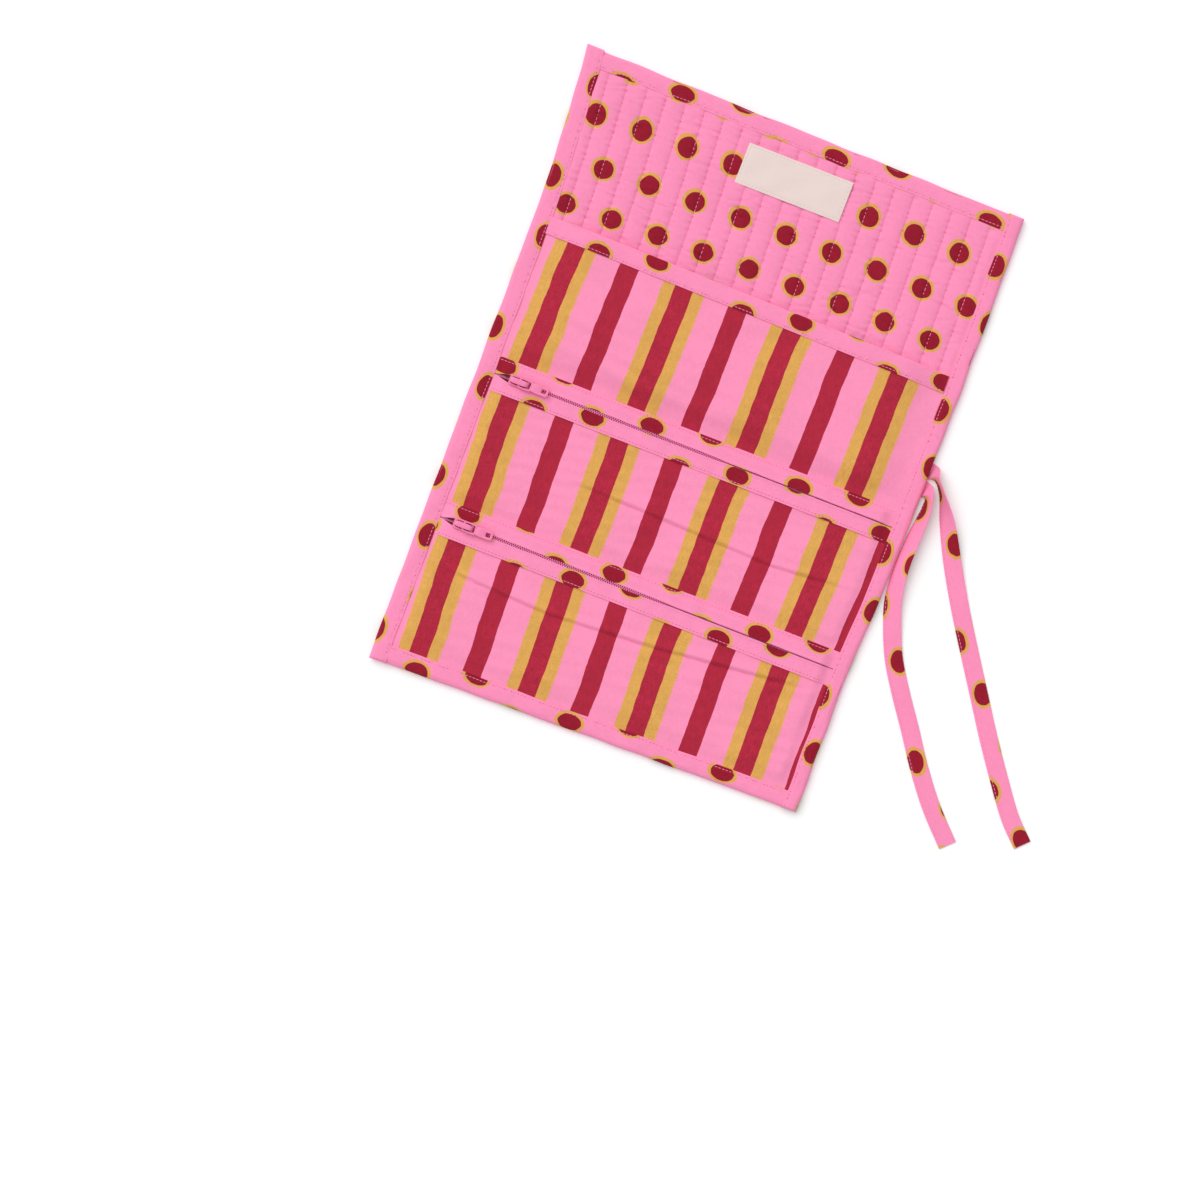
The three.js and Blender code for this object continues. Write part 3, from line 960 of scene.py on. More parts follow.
@dataclass(frozen=True)
class PinkEnamel:
    """Enamelled zinc of the slider and pull; peel and flecks are grains of its texture and wear a metre."""

    name: str = "slider_enamel"
    tint: Colour = (247, 133, 178)
    worn: Colour = (226, 120, 160)
    peel: float = 1800.0
    flecks: float = 700.0

    def dress(self) -> Material:
        """Material: enamel with soft orange peel and small worn flecks.

        Returns:
            The finished material.
        """
        dye = Dye(self.name)
        x, y, z = dye.place()
        peel = dye.noise(x * self.peel, y * self.peel, z * self.peel)
        fleck = dye.noise(x * self.flecks, y * self.flecks, z * self.flecks, 3.0)
        fleck = ((fleck - 0.62) * 9.0).clip()
        shade = dye.mix(linear(self.tint), linear(self.worn), fleck)
        normal = dye.bump(peel, 0.00005, 0.35)
        return dye.surface(Base_Color=shade, Roughness=fleck * 0.15 + peel * 0.1 + 0.42, Normal=normal,
                           Specular_IOR_Level=0.35)


class Finish(Enum):
    """Every finish on the case, with the slot that it belongs to."""

    DOTS = (DotPrint(), "dotted_cotton")
    STRIPES = (StripePrint(), "striped_cotton")
    LABEL = (LabelWeave(), "label_weave")
    # The second colour of each thread is painted shade for its needle holes.
    PINK_THREAD = (ThreadTwist("pink_thread", (248, 146, 188), (196, 62, 112)), "dotted_cotton")
    UNDYED_THREAD = (ThreadTwist("undyed_thread", (238, 220, 213), (186, 160, 154)), "label_weave")
    TAPE = (TapeWeave(), "zip_tape")
    COIL = (CoilNylon(), "zip_coil")
    ENAMEL = (PinkEnamel(), "zip_enamel")

    def __init__(self, look: Any, slot: str) -> None:
        """Names the finish and its material slot in the frame."""
        self.look = look
        self.slot = slot

    def material(self) -> Material:
        """The finish's material, made the first time it is asked for."""
        return bpy.data.materials.get(self.look.name) or self.look.dress()


Carrier = Union[str, Fold]


def mesh_of(name: str, points: Array, skin: Skin) -> bpy.types.Mesh:
    """Mesh with smooth faces and the cloth coordinates as its UV map.

    Args:
        name: the mesh's name.
        points: its points, in millimetres.
        skin: the surface that holds its faces and cloth coordinates.

    Returns:
        The mesh, in metres.
    """
    corners, faces = skin.quads.size, len(skin.quads)
    mesh = bpy.data.meshes.new(name)
    mesh.vertices.add(len(points))
    mesh.vertices.foreach_set("co", (points * MM).astype(np.float32).ravel())
    mesh.loops.add(corners)
    mesh.loops.foreach_set("vertex_index", skin.quads.astype(np.int32).ravel())
    mesh.polygons.add(faces)
    mesh.polygons.foreach_set("loop_start", np.arange(0, corners, 4, dtype=np.int32))
    mesh.update(calc_edges=True)
    layer = mesh.uv_layers.new(name=CLOTH_MAP)
    layer.data.foreach_set("uv", skin.cloth.astype(np.float32).ravel())
    mesh.polygons.foreach_set("use_smooth", np.ones(faces, dtype=bool))
    mesh.set_sharp_from_angle(angle=math.radians(SHARP_ANGLE))
    return mesh


def piece(name: str, skin: Skin, finish: Finish, carrier: Carrier, stands_for: Sequence[str] = (),
          settled: bool = True) -> bpy.types.Object:
    """Makes one piece of the case and puts it on the frame.

    Args:
        name: the piece's name.
        skin: its surface, in millimetres.
        finish: its finish, whose material it takes.
        carrier: the body that it rides on, or the fold that it lies across, where it is only baked in place.
        stands_for: nodes of the frame that it replaces.
        settled: whether its points move with the sewn outline.

    Returns:
        The piece's object.
    """
    points = OUTLINE.settle(skin.points) if settled else skin.points
    mesh = mesh_of(name, points, skin)
    mesh.materials.append(finish.material())
    made = bpy.data.objects.new(name, mesh)
    bpy.context.scene.collection.objects.link(made)
    if isinstance(carrier, Fold):
        carrier.carry(made)
    else:
        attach(made, carrier)
    if stands_for:
        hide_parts(*stands_for)
    LOG.info("%s: %d faces", name, len(skin.quads))
    return made


@dataclass(frozen=True)
class Stitching:
    """Rows of machine stitches: pitch, length, thread width and height, and size of the needle holes."""

    pitch: float = 2.0
    length: float = 1.5
    width: float = 0.36
    height: float = 0.2
    hole: float = 0.5

    def row(self, start: Sequence[float], end: Sequence[float], height: Surface, face: float = 1.0) -> Skin:
        """One straight row on a surface; each stitch takes the surface's slope over 0.8 of its length.

        Args:
            start: first place of the row, x and y.
            end: last place of the row, x and y.
            height: the surface's height.
            face: 1 for stitches on an upper face, -1 for a lower one.

        Returns:
            The stitches' surface.
        """
        a, b = np.asarray(start, float), np.asarray(end, float)
        long = float(np.linalg.norm(b - a))
        number = max(1, int(long / self.pitch))
        share = (np.arange(number) + 0.5) / number
        middle = a + share[:, None] * (b - a)
        half = 0.4 * self.length * (b - a) / long
        ahead, behind = middle + half, middle - half
        z = height(middle[:, 0], middle[:, 1])
        rise = height(ahead[:, 0], ahead[:, 1]) - height(behind[:, 0], behind[:, 1])
        along = unit(np.column_stack([np.broadcast_to(2.0 * half, middle.shape), rise]))
        flat = np.array([0.0, 0.0, face])
        up = unit(flat - (along @ flat)[:, None] * along)
        return self.sewn(np.column_stack([middle, z]), along, up, face > 0.0)

    def path(self, corners: Sequence[Sequence[float]], height: Surface, face: float = 1.0) -> Skin:
        """Straight rows from each corner to the next, on an upper face (1) or a lower one (-1)."""
        return Skin.joined(*(self.row(p, q, height, face) for p, q in zip(corners[:-1], corners[1:])))

    def sewn(self, places: Array, along: Array, up: Array, pricked: bool = True) -> Skin:
        """Stitches at given places, each with a needle hole in painted shade half a pitch behind it.

        Args:
            places: middle of each stitch.
            along: unit direction of each stitch.
            up: unit direction out of the cloth.
            pricked: whether the needle holes show.

        Returns:
            The surface of the stitches and holes.
        """
        number = len(places)
        thread = stitch_shape(self.width, self.height)
        threads = copies(thread, places, along, up, np.full(number, self.length))
        if not pricked:
            return threads
        # Each hole is a small dome that carries the thread's painted shade.
        behind = places - 0.5 * self.pitch * along
        holes = copies(hole_shape(self.hole), behind, along, up, np.ones(number), 1.0)
        return Skin.joined(threads, holes)


# Sub-assemblies


@dataclass
class Quilt:
    """Quilted panel: dotted lining above, striped shell below, padding between, sewn in channels along Y.

    Levels are heights over the table. The flap is the line where it begins and the length over which it does,
    and the label its middle and half size along X, then along Y.
    """

    pitch: float = 10.5
    rows: int = 21
    valley: float = 3.15
    puff: float = 1.0
    shoulder: float = 1.1
    flat: float = 3.4
    edge_rise: float = 0.35
    shell_level: float = 1.15
    shell_puff: float = 0.7
    middle: float = 2.15
    end_strip: float = 8.4
    flap: Pair = (66.0, 10.0)
    label: tuple[float, float, float, float] = (2.0, 28.0, 139.6, 9.5)
    # The strap under the shell: its start along X, its lowest and highest line, and the level over it
    strap_start: float = -24.0
    strap_rows: Pair = (9.0, 31.0)
    strap_level: float = 0.9
    table: float = 0.06
    row_end: float = 157.0
    flap_row: float = 77.5
    # Grid lines in the first half of a channel, as shares of the pitch
    grading: tuple[float, ...] = (0.0, 0.03, 0.075, 0.145, 0.25, 0.37)
    dots: Cut = Cut((6.7, 112.9), turn=-1.35, lean=-0.04, bow=1.6, spread=0.0011, fan=0.00073)
    stripes: Cut = Cut((-90.0, 0.0))
    pucker: Rumple = Rumple(11, (2.4, 5.0), 0.18, heading=90.0, spread=22.0, count=18)
    ripple: Rumple = Rumple(12, (9.0, 30.0), 0.12, heading=90.0, spread=40.0)
    creases: Creases = Creases(14, (8.0, 20.0), 0.42, heading=88.0, spread=32.0, width=0.13)
    back: Rumple = Rumple(13, (3.0, 7.0), 0.10, heading=90.0, spread=25.0, count=16)
    stitching: Stitching = Stitching(2.3, 1.95, 0.34, 0.20, 0.34)

    def seams(self) -> Array:
        """Place along X of each row of quilting."""
        return self.pitch * np.arange(-(self.rows // 2), self.rows // 2 + 1)

    def to_row(self, x: Array) -> Array:
        """Distance to the nearest row of quilting, at most half the pitch."""
        number = np.clip(np.round(x / self.pitch), -(self.rows // 2), self.rows // 2)
        return np.minimum(np.abs(x - number * self.pitch), 0.5 * self.pitch)

    def columns(self) -> Array:
        """Grid lines across the panel, graded towards each row of quilting so that its valley stays sharp.

        Returns:
            The lines as one rising array.
        """
        rows = self.seams()
        half = np.array(self.grading)
        graded = np.concatenate([half, [0.5], 1.0 - half[:0:-1]])
        inner = (rows[:-1, None] + self.pitch * graded).ravel()
        edge = lines((rows[-1], OUTLINE.bound, OUTLINE.reach), 0.9)
        return np.concatenate([-edge[::-1], inner[1:], edge])

    def channel(self, x: Array) -> Array:
        """Padding across a channel: it rises as 1 - exp(-d / shoulder) of the distance d to a row."""
        d = self.to_row(x)
        return (1.0 - np.exp(-d / self.shoulder)) * (0.8 + 0.2 * np.sin(np.pi * d / self.pitch))

    def open_cloth(self, x: Array, y: Array) -> Array:
        """1 on the open cloth, falling to 0 under the bindings."""
        side = ease(OUTLINE.bound + 1.0 - np.abs(x), 3.0)
        return side * ease(OUTLINE.top - self.end_strip - np.abs(y), 3.0)

    def lining(self, x: Array, y: Array) -> Array:
        """Height of the lining: channels, puckers and creases on the flap, level behind the pockets.

        Args:
            x: places along X.
            y: places along Y.

        Returns:
            The height at each place; the label halves the channels and creases under it.
        """
        start, length = self.flap
        middle_x, half_x, middle_y, half_y = self.label
        flap = ease(y - start, length)
        level = self.flat + self.edge_rise * flap
        free = np.maximum(ease(np.abs(x - middle_x) - half_x, 4.0), ease(np.abs(y - middle_y) - half_y, 4.0))
        rough = self.pucker(x, y) * bell(self.to_row(x), 2.4) + self.ripple(x, y) + self.creases(x, y)
        quilted = self.valley + (self.puff * self.channel(x) + rough) * (0.5 + 0.5 * free)
        return level + self.open_cloth(x, y) * flap * (quilted - level)

    def shell(self, x: Array, y: Array) -> Array:
        """Height of the shell's outer face: channels and puckers, lifted where the strap runs under it.

        Args:
            x: places along X.
            y: places along Y.

        Returns:
            The height at each place.
        """
        rough = self.back(x, y) * bell(self.to_row(x), 3.2)
        z = self.shell_level - self.open_cloth(x, y) * (self.shell_puff * self.channel(x) + rough)
        low, high = self.strap_rows
        beside = ease(y - low + 4.0, 4.0) * ease(high + 4.0 - y, 4.0)
        over_strap = ease(x - self.strap_start, 8.0) * beside
        return np.maximum(z + over_strap * np.maximum(self.strap_level - z, 0.0), self.table)

    def build(self) -> None:
        """Padded lining, shell and quilting stitches, length by length, on fine grids where they show."""
        hidden = lines((-OUTLINE.reach, -OUTLINE.bound, OUTLINE.bound, OUTLINE.reach), 6.0)
        seen = self.flap[0] - 2.0
        for run in Run:
            x, y = np.meshgrid(hidden, run.fold.rows(run.low, run.high, 2.5))
            if run is Run.UPPER:
                ys = np.concatenate([lines((run.low, seen), 3.0)[:-1], lines((seen, run.high), 0.72)])
                x, y = np.meshgrid(self.columns(), ys)
            skin = sheet(x, y, self.lining(x, y), np.full(x.shape, self.middle), self.dots)
            pad = piece(f"lining_{run.label}", skin, Finish.DOTS, run.fold, run.nodes("lining", "batting"))
            x, y = np.meshgrid(self.columns(), run.fold.rows(run.low, run.high, 1.6))
            skin = sheet(x, y, np.full(x.shape, self.middle - 0.05), self.shell(x, y), self.stripes)
            cloth = piece(f"shell_{run.label}", skin, Finish.STRIPES, run.fold, run.nodes("shell"))
            self.stitch(run)

    def stitch(self, run: Run) -> None:
        """Quilting rows of one length: on the shell everywhere, on the lining where it shows.

        Args:
            run: the length.
        """
        low, high = max(run.low, -self.row_end), min(run.high, self.row_end)
        below = [self.stitching.row((x, low), (x, high), self.shell, -1.0) for x in self.seams()]
        piece(f"shell_quilting_{run.label}", Skin.joined(*below), Finish.PINK_THREAD, run.fold)
        if run is Run.UPPER:
            above = [self.stitching.row((x, self.flap_row), (x, high), self.lining) for x in self.seams()]
            piece("flap_quilting", Skin.joined(*above), Finish.PINK_THREAD, run.fold)


@dataclass
class Binding:
    """Dotted strip folded round an edge and sewn through near its inner edges.

    Levels and feet are heights of its upper and its lower face. The flap and the corner are each the line
    where a side strip's level begins to change, and the length over which it does.
    """

    width: float = 9.4
    thick: float = 0.7
    nose: float = 2.3
    drape: float = 2.4
    flap_level: float = 4.05
    pocket_level: float = 4.5
    flap: Pair = (72.0, 14.0)
    corner: Pair = (155.0, 4.0)
    corner_rise: float = 0.55
    strap: Pair = (3.0, 37.0)
    strap_lift: float = 0.78
    foot: float = 0.04
    end_foot: float = 0.1
    # Folded end of a side strip, and how far it passes the top and the bottom edge
    tip: float = 1.6
    past: Pair = (0.6, 0.3)
    row_end: float = 165.0
    # Half lengths of an end strip and of its stitches, and its width before folding
    end_half: float = 112.6
    end_row: float = 111.0
    end_width: float = 24.5
    seam: float = 8.0
    crown: float = 0.2
    edge_drop: float = 0.16
    groove: float = 0.13
    lie: Rumple = Rumple(21, (9.0, 34.0), 0.09, heading=90.0, spread=50.0)
    edge: Rumple = Rumple(22, (22.0, 70.0), 0.13, heading=90.0, spread=10.0, count=10)
    tuck: Rumple = Rumple(23, (2.4, 4.5), 0.07, heading=90.0, spread=30.0)
    stitching: Stitching = Stitching()

    def strip(self) -> tuple[Array, Array, Array, Array]:
        """Folded section: outwards from the lower inner edge, round a half ellipse, and back above.

        Returns:
            Along the section: reach from the outer edge, height share from -1 below to 1 above, how far the
            set-in side of the cloth lies inwards, and 1 on the upper face with 0 elsewhere.
        """
        lip = 0.35
        leg = lines((self.width, self.width - lip, self.width - 2.0 * lip, self.seam - 0.7, self.nose), 0.55)
        turn = np.linspace(-0.5 * np.pi, 0.5 * np.pi, 15)[1:-1]
        none, full = np.zeros(len(leg)), np.ones(len(leg))
        reach = np.concatenate([leg, self.nose * (1.0 - np.cos(turn)), leg[::-1]])
        share = np.concatenate([-full, np.sin(turn), full])
        inward = np.concatenate([none, np.cos(turn), none])
        return reach, share, inward, np.concatenate([none, np.zeros(len(turn)), full])

    def wrap(self, along: Array, level: Array, foot: Array,
             close: Array) -> tuple[Array, Array, Array, Array]:
        """Section carried along an edge.

        Args:
            along: place of each station along the edge.
            level: height of the upper face at each station.
            foot: height of the lower face at each station.
            close: 1 where the section is open, falling to 0 at a folded end.

        Returns:
            Reach from the outer edge, height, along and distance over the cloth from the upper inner edge,
            each by station and by place round the ring.
        """
        a, h, inward, upper = self.strip()
        s = along[:, None]
        middle, half = 0.5 * (level + foot)[:, None], 0.5 * (level - foot)[:, None]
        swell = upper * self.relief(a[None], s) * close[:, None]
        outer = middle + half * h * close[:, None] + swell
        inner = middle + (half - self.thick) * h * close[:, None] + swell
        set_in = np.broadcast_to(a + self.thick * inward, inner.shape)[:, ::-1]
        step = np.hypot(np.diff(a), np.diff(h) * self.drape)
        over = np.concatenate([[0.0], np.cumsum(step)])
        over = over[-1] - over
        reach = np.concatenate([np.broadcast_to(a, outer.shape), set_in], axis=1)
        height = np.concatenate([outer, inner[:, ::-1]], axis=1)
        cloth = np.broadcast_to(np.concatenate([over, over[::-1]]), reach.shape)
        return reach, height, np.broadcast_to(s, reach.shape), cloth

    def relief(self, reach: Array, along: Array) -> Array:
        """Upper face over its level: a low crown, a dropped edge, a groove on the seam, and small tucks.

        Args:
            reach: distance from the outer edge.
            along: place along the edge.

        Returns:
            The height over the level.
        """
        lip = np.clip((reach - self.width + 0.35) / 0.35, 0.0, 1.0)
        crown = self.crown * np.sin(np.pi * np.clip((reach - 1.0) / self.width, 0.0, 1.0))
        groove = self.groove * bell(reach - self.seam, 0.55)
        tuck = self.tuck(reach, along) * bell(reach - self.seam, 1.3)
        return crown - self.edge_drop * lip**2 - groove + self.lie(reach, along) + tuck

    def waver(self, along: Array, row: float, start: float) -> Array:
        """Waver of an edge along its length, drawn from its own row of the waves."""
        return self.edge(np.full_like(along, row), along + start)

    def side_level(self, y: Array) -> Array:
        """Height of a side strip: low along the flap, higher along the pockets and over the end strips."""
        flap, corner = ease(y - self.flap[0], self.flap[1]), ease(np.abs(y) - self.corner[0], self.corner[1])
        return self.pocket_level - (self.pocket_level - self.flap_level) * flap + corner * self.corner_rise

    def side_foot(self, y: Array, side: float) -> Array:
        """Height of a side strip's lower face, lifted on the right where the strap passes under it."""
        low, high = self.strap
        return self.foot + ease(y - low, 6.0) * ease(high - y, 6.0) * (self.strap_lift if side > 0.0 else 0.0)

    def side(self, side: float, cut: Cut) -> None:
        """One side edge in three lengths, with a folded end at each corner.

        Args:
            side: -1 for the left edge, 1 for the right one.
            cut: how the dots lie on the strip, down its length and across X.
        """
        name = "left" if side < 0.0 else "right"
        for run in Run:
            y = self.side_rows(run)
            gap = OUTLINE.top + np.where(y > 0.0, *self.past) - np.abs(y)
            close = np.sqrt(np.clip(1.0 - (1.0 - np.clip(gap / self.tip, 0.0, 1.0)) ** 2, 0.02, 1.0))
            reach, height, s, cloth = self.wrap(y, self.side_level(y), self.side_foot(y, side), close)
            x = side * (OUTLINE.half - reach) + self.waver(s, 0.0, 300.0 * side)
            marks = cut.lay(-s, side * (OUTLINE.half - self.width + cloth))
            skin = loft(np.stack([x, s, height], -1), closed(marks))
            nodes = run.nodes(f"binding_{name}")
            strip = piece(f"binding_{name}_{run.label}", skin, Finish.DOTS, run.fold, nodes)
            rows = self.sew(0, side * (OUTLINE.half - self.seam), (run.low, min(run.high, self.row_end)),
                            self.side_level, partial(self.side_foot, side=side))
            rows.points[:, 0] += self.waver(rows.points[:, 1], 0.0, 300.0 * side)
            piece(f"binding_{name}_stitches_{run.label}", rows, Finish.PINK_THREAD, run.fold)

    def side_rows(self, run: Run) -> Array:
        """Grid lines along one length of a side strip, closer together in its bend and at its folded end.

        Args:
            run: the length.

        Returns:
            The lines as one rising array.
        """
        top, bottom = self.past
        low = -OUTLINE.top - bottom if run is Run.LOWER else run.low
        high = OUTLINE.top + top if run is Run.UPPER else run.high
        y = run.fold.rows(low, high, 1.1)
        if run is Run.MIDDLE:
            return y
        end = high if run is Run.UPPER else low
        extra = end - np.sign(end) * lines((self.tip, 0.0), 0.2)[:-1]
        return np.unique(np.concatenate([y, extra]))

    def end(self, edge: float, level: float, body: str, node: str, cut: Cut) -> None:
        """The top or bottom edge, between the side strips.

        Args:
            edge: 1 for the top edge, -1 for the bottom one.
            level: height of its upper face.
            body: body that it rides on.
            node: node of the frame that it stands for.
            cut: how the dots lie on the strip, along X and across Y.
        """
        xs = lines((-self.end_half, self.end_half), 1.1)
        whole = np.ones_like(xs)
        reach, height, s, cloth = self.wrap(xs, level * whole, self.end_foot * whole, whole)
        y = edge * (OUTLINE.top - reach) + self.waver(s, 40.0, 500.0 * edge)
        marks = cut.lay(s, edge * (OUTLINE.top - self.width + cloth))
        skin = loft(np.stack([s, y, height], -1), closed(marks))
        strip = piece(f"{node}_wrap", skin, Finish.DOTS, body, [node])
        lining = "lining_upper" if edge > 0.0 else "lining_lower"
        top, low = partial(np.full_like, fill_value=level), partial(np.full_like, fill_value=self.end_foot)
        rows = self.sew(1, edge * (OUTLINE.top - self.seam), (-self.end_row, self.end_row), top, low)
        rows.points[:, 1] += self.waver(rows.points[:, 0], 40.0, 500.0 * edge)
        piece(f"{node}_stitches", rows, Finish.PINK_THREAD, body)

    def sew(self, axis: int, line: float, ends: Pair, level: Line, foot: Line) -> Skin:
        """Both rows of stitches of a strip: on its upper and on its lower face.

        Args:
            axis: 0 for a side strip, whose seam is a place along X, and 1 for an end strip, along Y.
            line: the seam's place.
            ends: first and last place of the rows along the strip.
            level: height of the strip's upper face along it.
            foot: height of its lower face along it.

        Returns:
            The rows as one surface.
        """

        def over(x: Array, y: Array) -> Array:
            """Height of the upper face on the seam."""
            along = (y, x)[axis]
            return level(along) + self.relief(np.full_like(along, self.seam), along)

        def under(x: Array, y: Array) -> Array:
            """Height of the lower face."""
            return foot((y, x)[axis])

        start, end = ((line, along) if axis == 0 else (along, line) for along in ends)
        return Skin.joined(self.stitching.row(start, end, over), self.stitching.row(start, end, under, -1.0))

    def build(self) -> None:
        """All four edges; the right strip was folded narrower than the left one."""
        narrow = replace(self, width=8.2, seam=6.9)
        top, bottom = Cut((-66.0, 161.8), BIAS, 1.22), Cut((-8.8, -163.0), 41.5, 1.222)
        self.side(-1.0, Cut((-96.3, -117.6), BIAS, 1.19))
        narrow.side(1.0, Cut((-57.9, 113.3), BIAS, 1.164))
        self.end(1.0, self.flap_level, "flap_section", "top_binding", top)
        self.end(-1.0, self.pocket_level, "zip2_section", "bottom_binding", bottom)


@dataclass
class Label:
    """Bare woven label sewn to the flap along its border."""

    half_width: float = 29.0
    half_height: float = 11.0
    middle: float = 139.6
    level: float = 4.45
    thick: float = 0.42
    seam: float = 1.3
    seam_drop: float = 0.16
    edge_drop: float = 0.25
    lie: Rumple = Rumple(31, (10.0, 30.0), 0.09, heading=0.0, spread=60.0, count=10)
    stitching: Stitching = Stitching(2.0, 1.45, 0.36, 0.18, 0.4)

    def face(self, x: Array, y: Array) -> Array:
        """Height of the label: level, drawn down along its border.

        Args:
            x: places along X.
            y: places along Y.

        Returns:
            The height at each place.
        """
        inset = np.minimum(self.half_width - np.abs(x), self.half_height - np.abs(y - self.middle))
        drop = self.seam_drop * bell(inset - self.seam, 0.7) + self.edge_drop * (1.0 - ease(inset, 0.7))
        return self.level + self.lie(x, y) - drop

    def build(self) -> None:
        """The label and its border of stitches."""
        w, h, m = self.half_width, self.half_height, self.middle
        x, y = np.meshgrid(lines((-w, w), 0.5), lines((m - h, m + h), 0.5))
        top = self.face(x, y)
        skin = sheet(x, y, top, top - self.thick, Cut((0.0, m)))
        patch = piece("label", skin, Finish.LABEL, "flap_section", ["label_patch"], settled=False)
        a, b = w - self.seam, h - self.seam
        corners = [(-a, m - b), (a, m - b), (a, m + b), (-a, m + b), (-a, m - b)]
        border = self.stitching.path(corners, self.face)
        piece("label_stitches", border, Finish.UNDYED_THREAD, "flap_section", settled=False)


@dataclass
class SlipPocket:
    """Open pocket: striped front, sewn down at its sides and bottom, with a dotted strip round its mouth.

    The strip's levels are its upper face over the front and its lower face under it.
    """

    level: float = 4.1
    room: float = 3.8
    side_ramp: float = 24.0
    bottom_ramp: float = 15.0
    bottom: float = -0.2
    thick: float = 0.5
    strip_half: float = 111.2
    strip_past: float = 0.7
    strip_levels: Pair = (0.6, 1.15)
    lining_top: float = 3.3
    strip_row: float = 110.0
    stripes: Cut = Cut((-106.1, 37.0), stretch=0.993, lean=-0.03, gather=-1.2)
    dots: Cut = Cut((29.2, 73.4), BIAS, 1.16)
    strip: Binding = field(default_factory=lambda: Binding(width=9.6, thick=0.45, nose=0.9, seam=8.5))
    folds: Rumple = Rumple(41, (7.0, 15.0), 0.20, heading=82.0, spread=16.0, count=10)
    lie: Rumple = Rumple(42, (25.0, 70.0), 0.22, heading=60.0, spread=90.0, count=10)

    def rise(self, x: Array, y: Array) -> Array:
        """Share of the room: smooth steps in from the sides and up from the bottom."""
        return ease(OUTLINE.sewn - np.abs(x), self.side_ramp) * ease(y - self.bottom, self.bottom_ramp)

    def front(self, x: Array, y: Array) -> Array:
        """Height of the front's face, with soft folds in its lower left part.

        Args:
            x: places along X.
            y: places along Y.

        Returns:
            The height at each place.
        """
        loose = ease(108.0 - np.abs(x), 8.0) * ease(y - self.bottom - 2.0, 6.0) * ease(66.0 - y, 8.0)
        left = 0.35 + 0.65 * ease(30.0 - x, 80.0) * ease(48.0 - y, 24.0)
        return self.level + self.room * self.rise(x, y) + loose * (left * self.folds(x, y) + self.lie(x, y))

    def build(self) -> None:
        """The front, its mouth strip and the strip's stitches."""
        xs = lines((-OUTLINE.reach, -OUTLINE.sewn, OUTLINE.sewn, OUTLINE.reach), 1.2)
        x, y = np.meshgrid(xs, lines((self.bottom, OUTLINE.mouth - 0.4), 0.9))
        top = self.front(x, y)
        skin = sheet(x, y, top, top - self.thick, self.stripes)
        cloth = piece("slip_front", skin, Finish.STRIPES, Fold.UPPER, ["slip_pocket_front"])
        self.mouth_strip()

    def mouth_strip(self) -> None:
        """Dotted strip folded over the mouth, whose two faces follow the front."""
        strip, edge = self.strip, OUTLINE.mouth + self.strip_past
        xs = lines((-self.strip_half, self.strip_half), 1.1)
        front = self.level + self.room * self.rise(xs, np.full_like(xs, OUTLINE.mouth))
        level, foot = front + self.strip_levels[0], np.maximum(front - self.strip_levels[1], self.lining_top)
        reach, height, s, cloth = strip.wrap(xs, level, foot, np.ones_like(xs))
        marks = self.dots.lay(s, edge - strip.width + cloth)
        skin = loft(np.stack([s, edge - reach, height], -1), closed(marks))
        made = piece("slip_mouth_strip", skin, Finish.DOTS, "slip_section", ["slip_pocket_band"])

        def over(x: Array, _: Array) -> Array:
            """Height of the strip's upper face on the seam."""
            return np.interp(x, xs, level) + strip.relief(np.full_like(x, strip.seam), x)

        row = edge - strip.seam
        stitches = strip.stitching.row((-self.strip_row, row), (self.strip_row, row), over)
        piece("slip_mouth_stitches", stitches, Finish.PINK_THREAD, "slip_section")


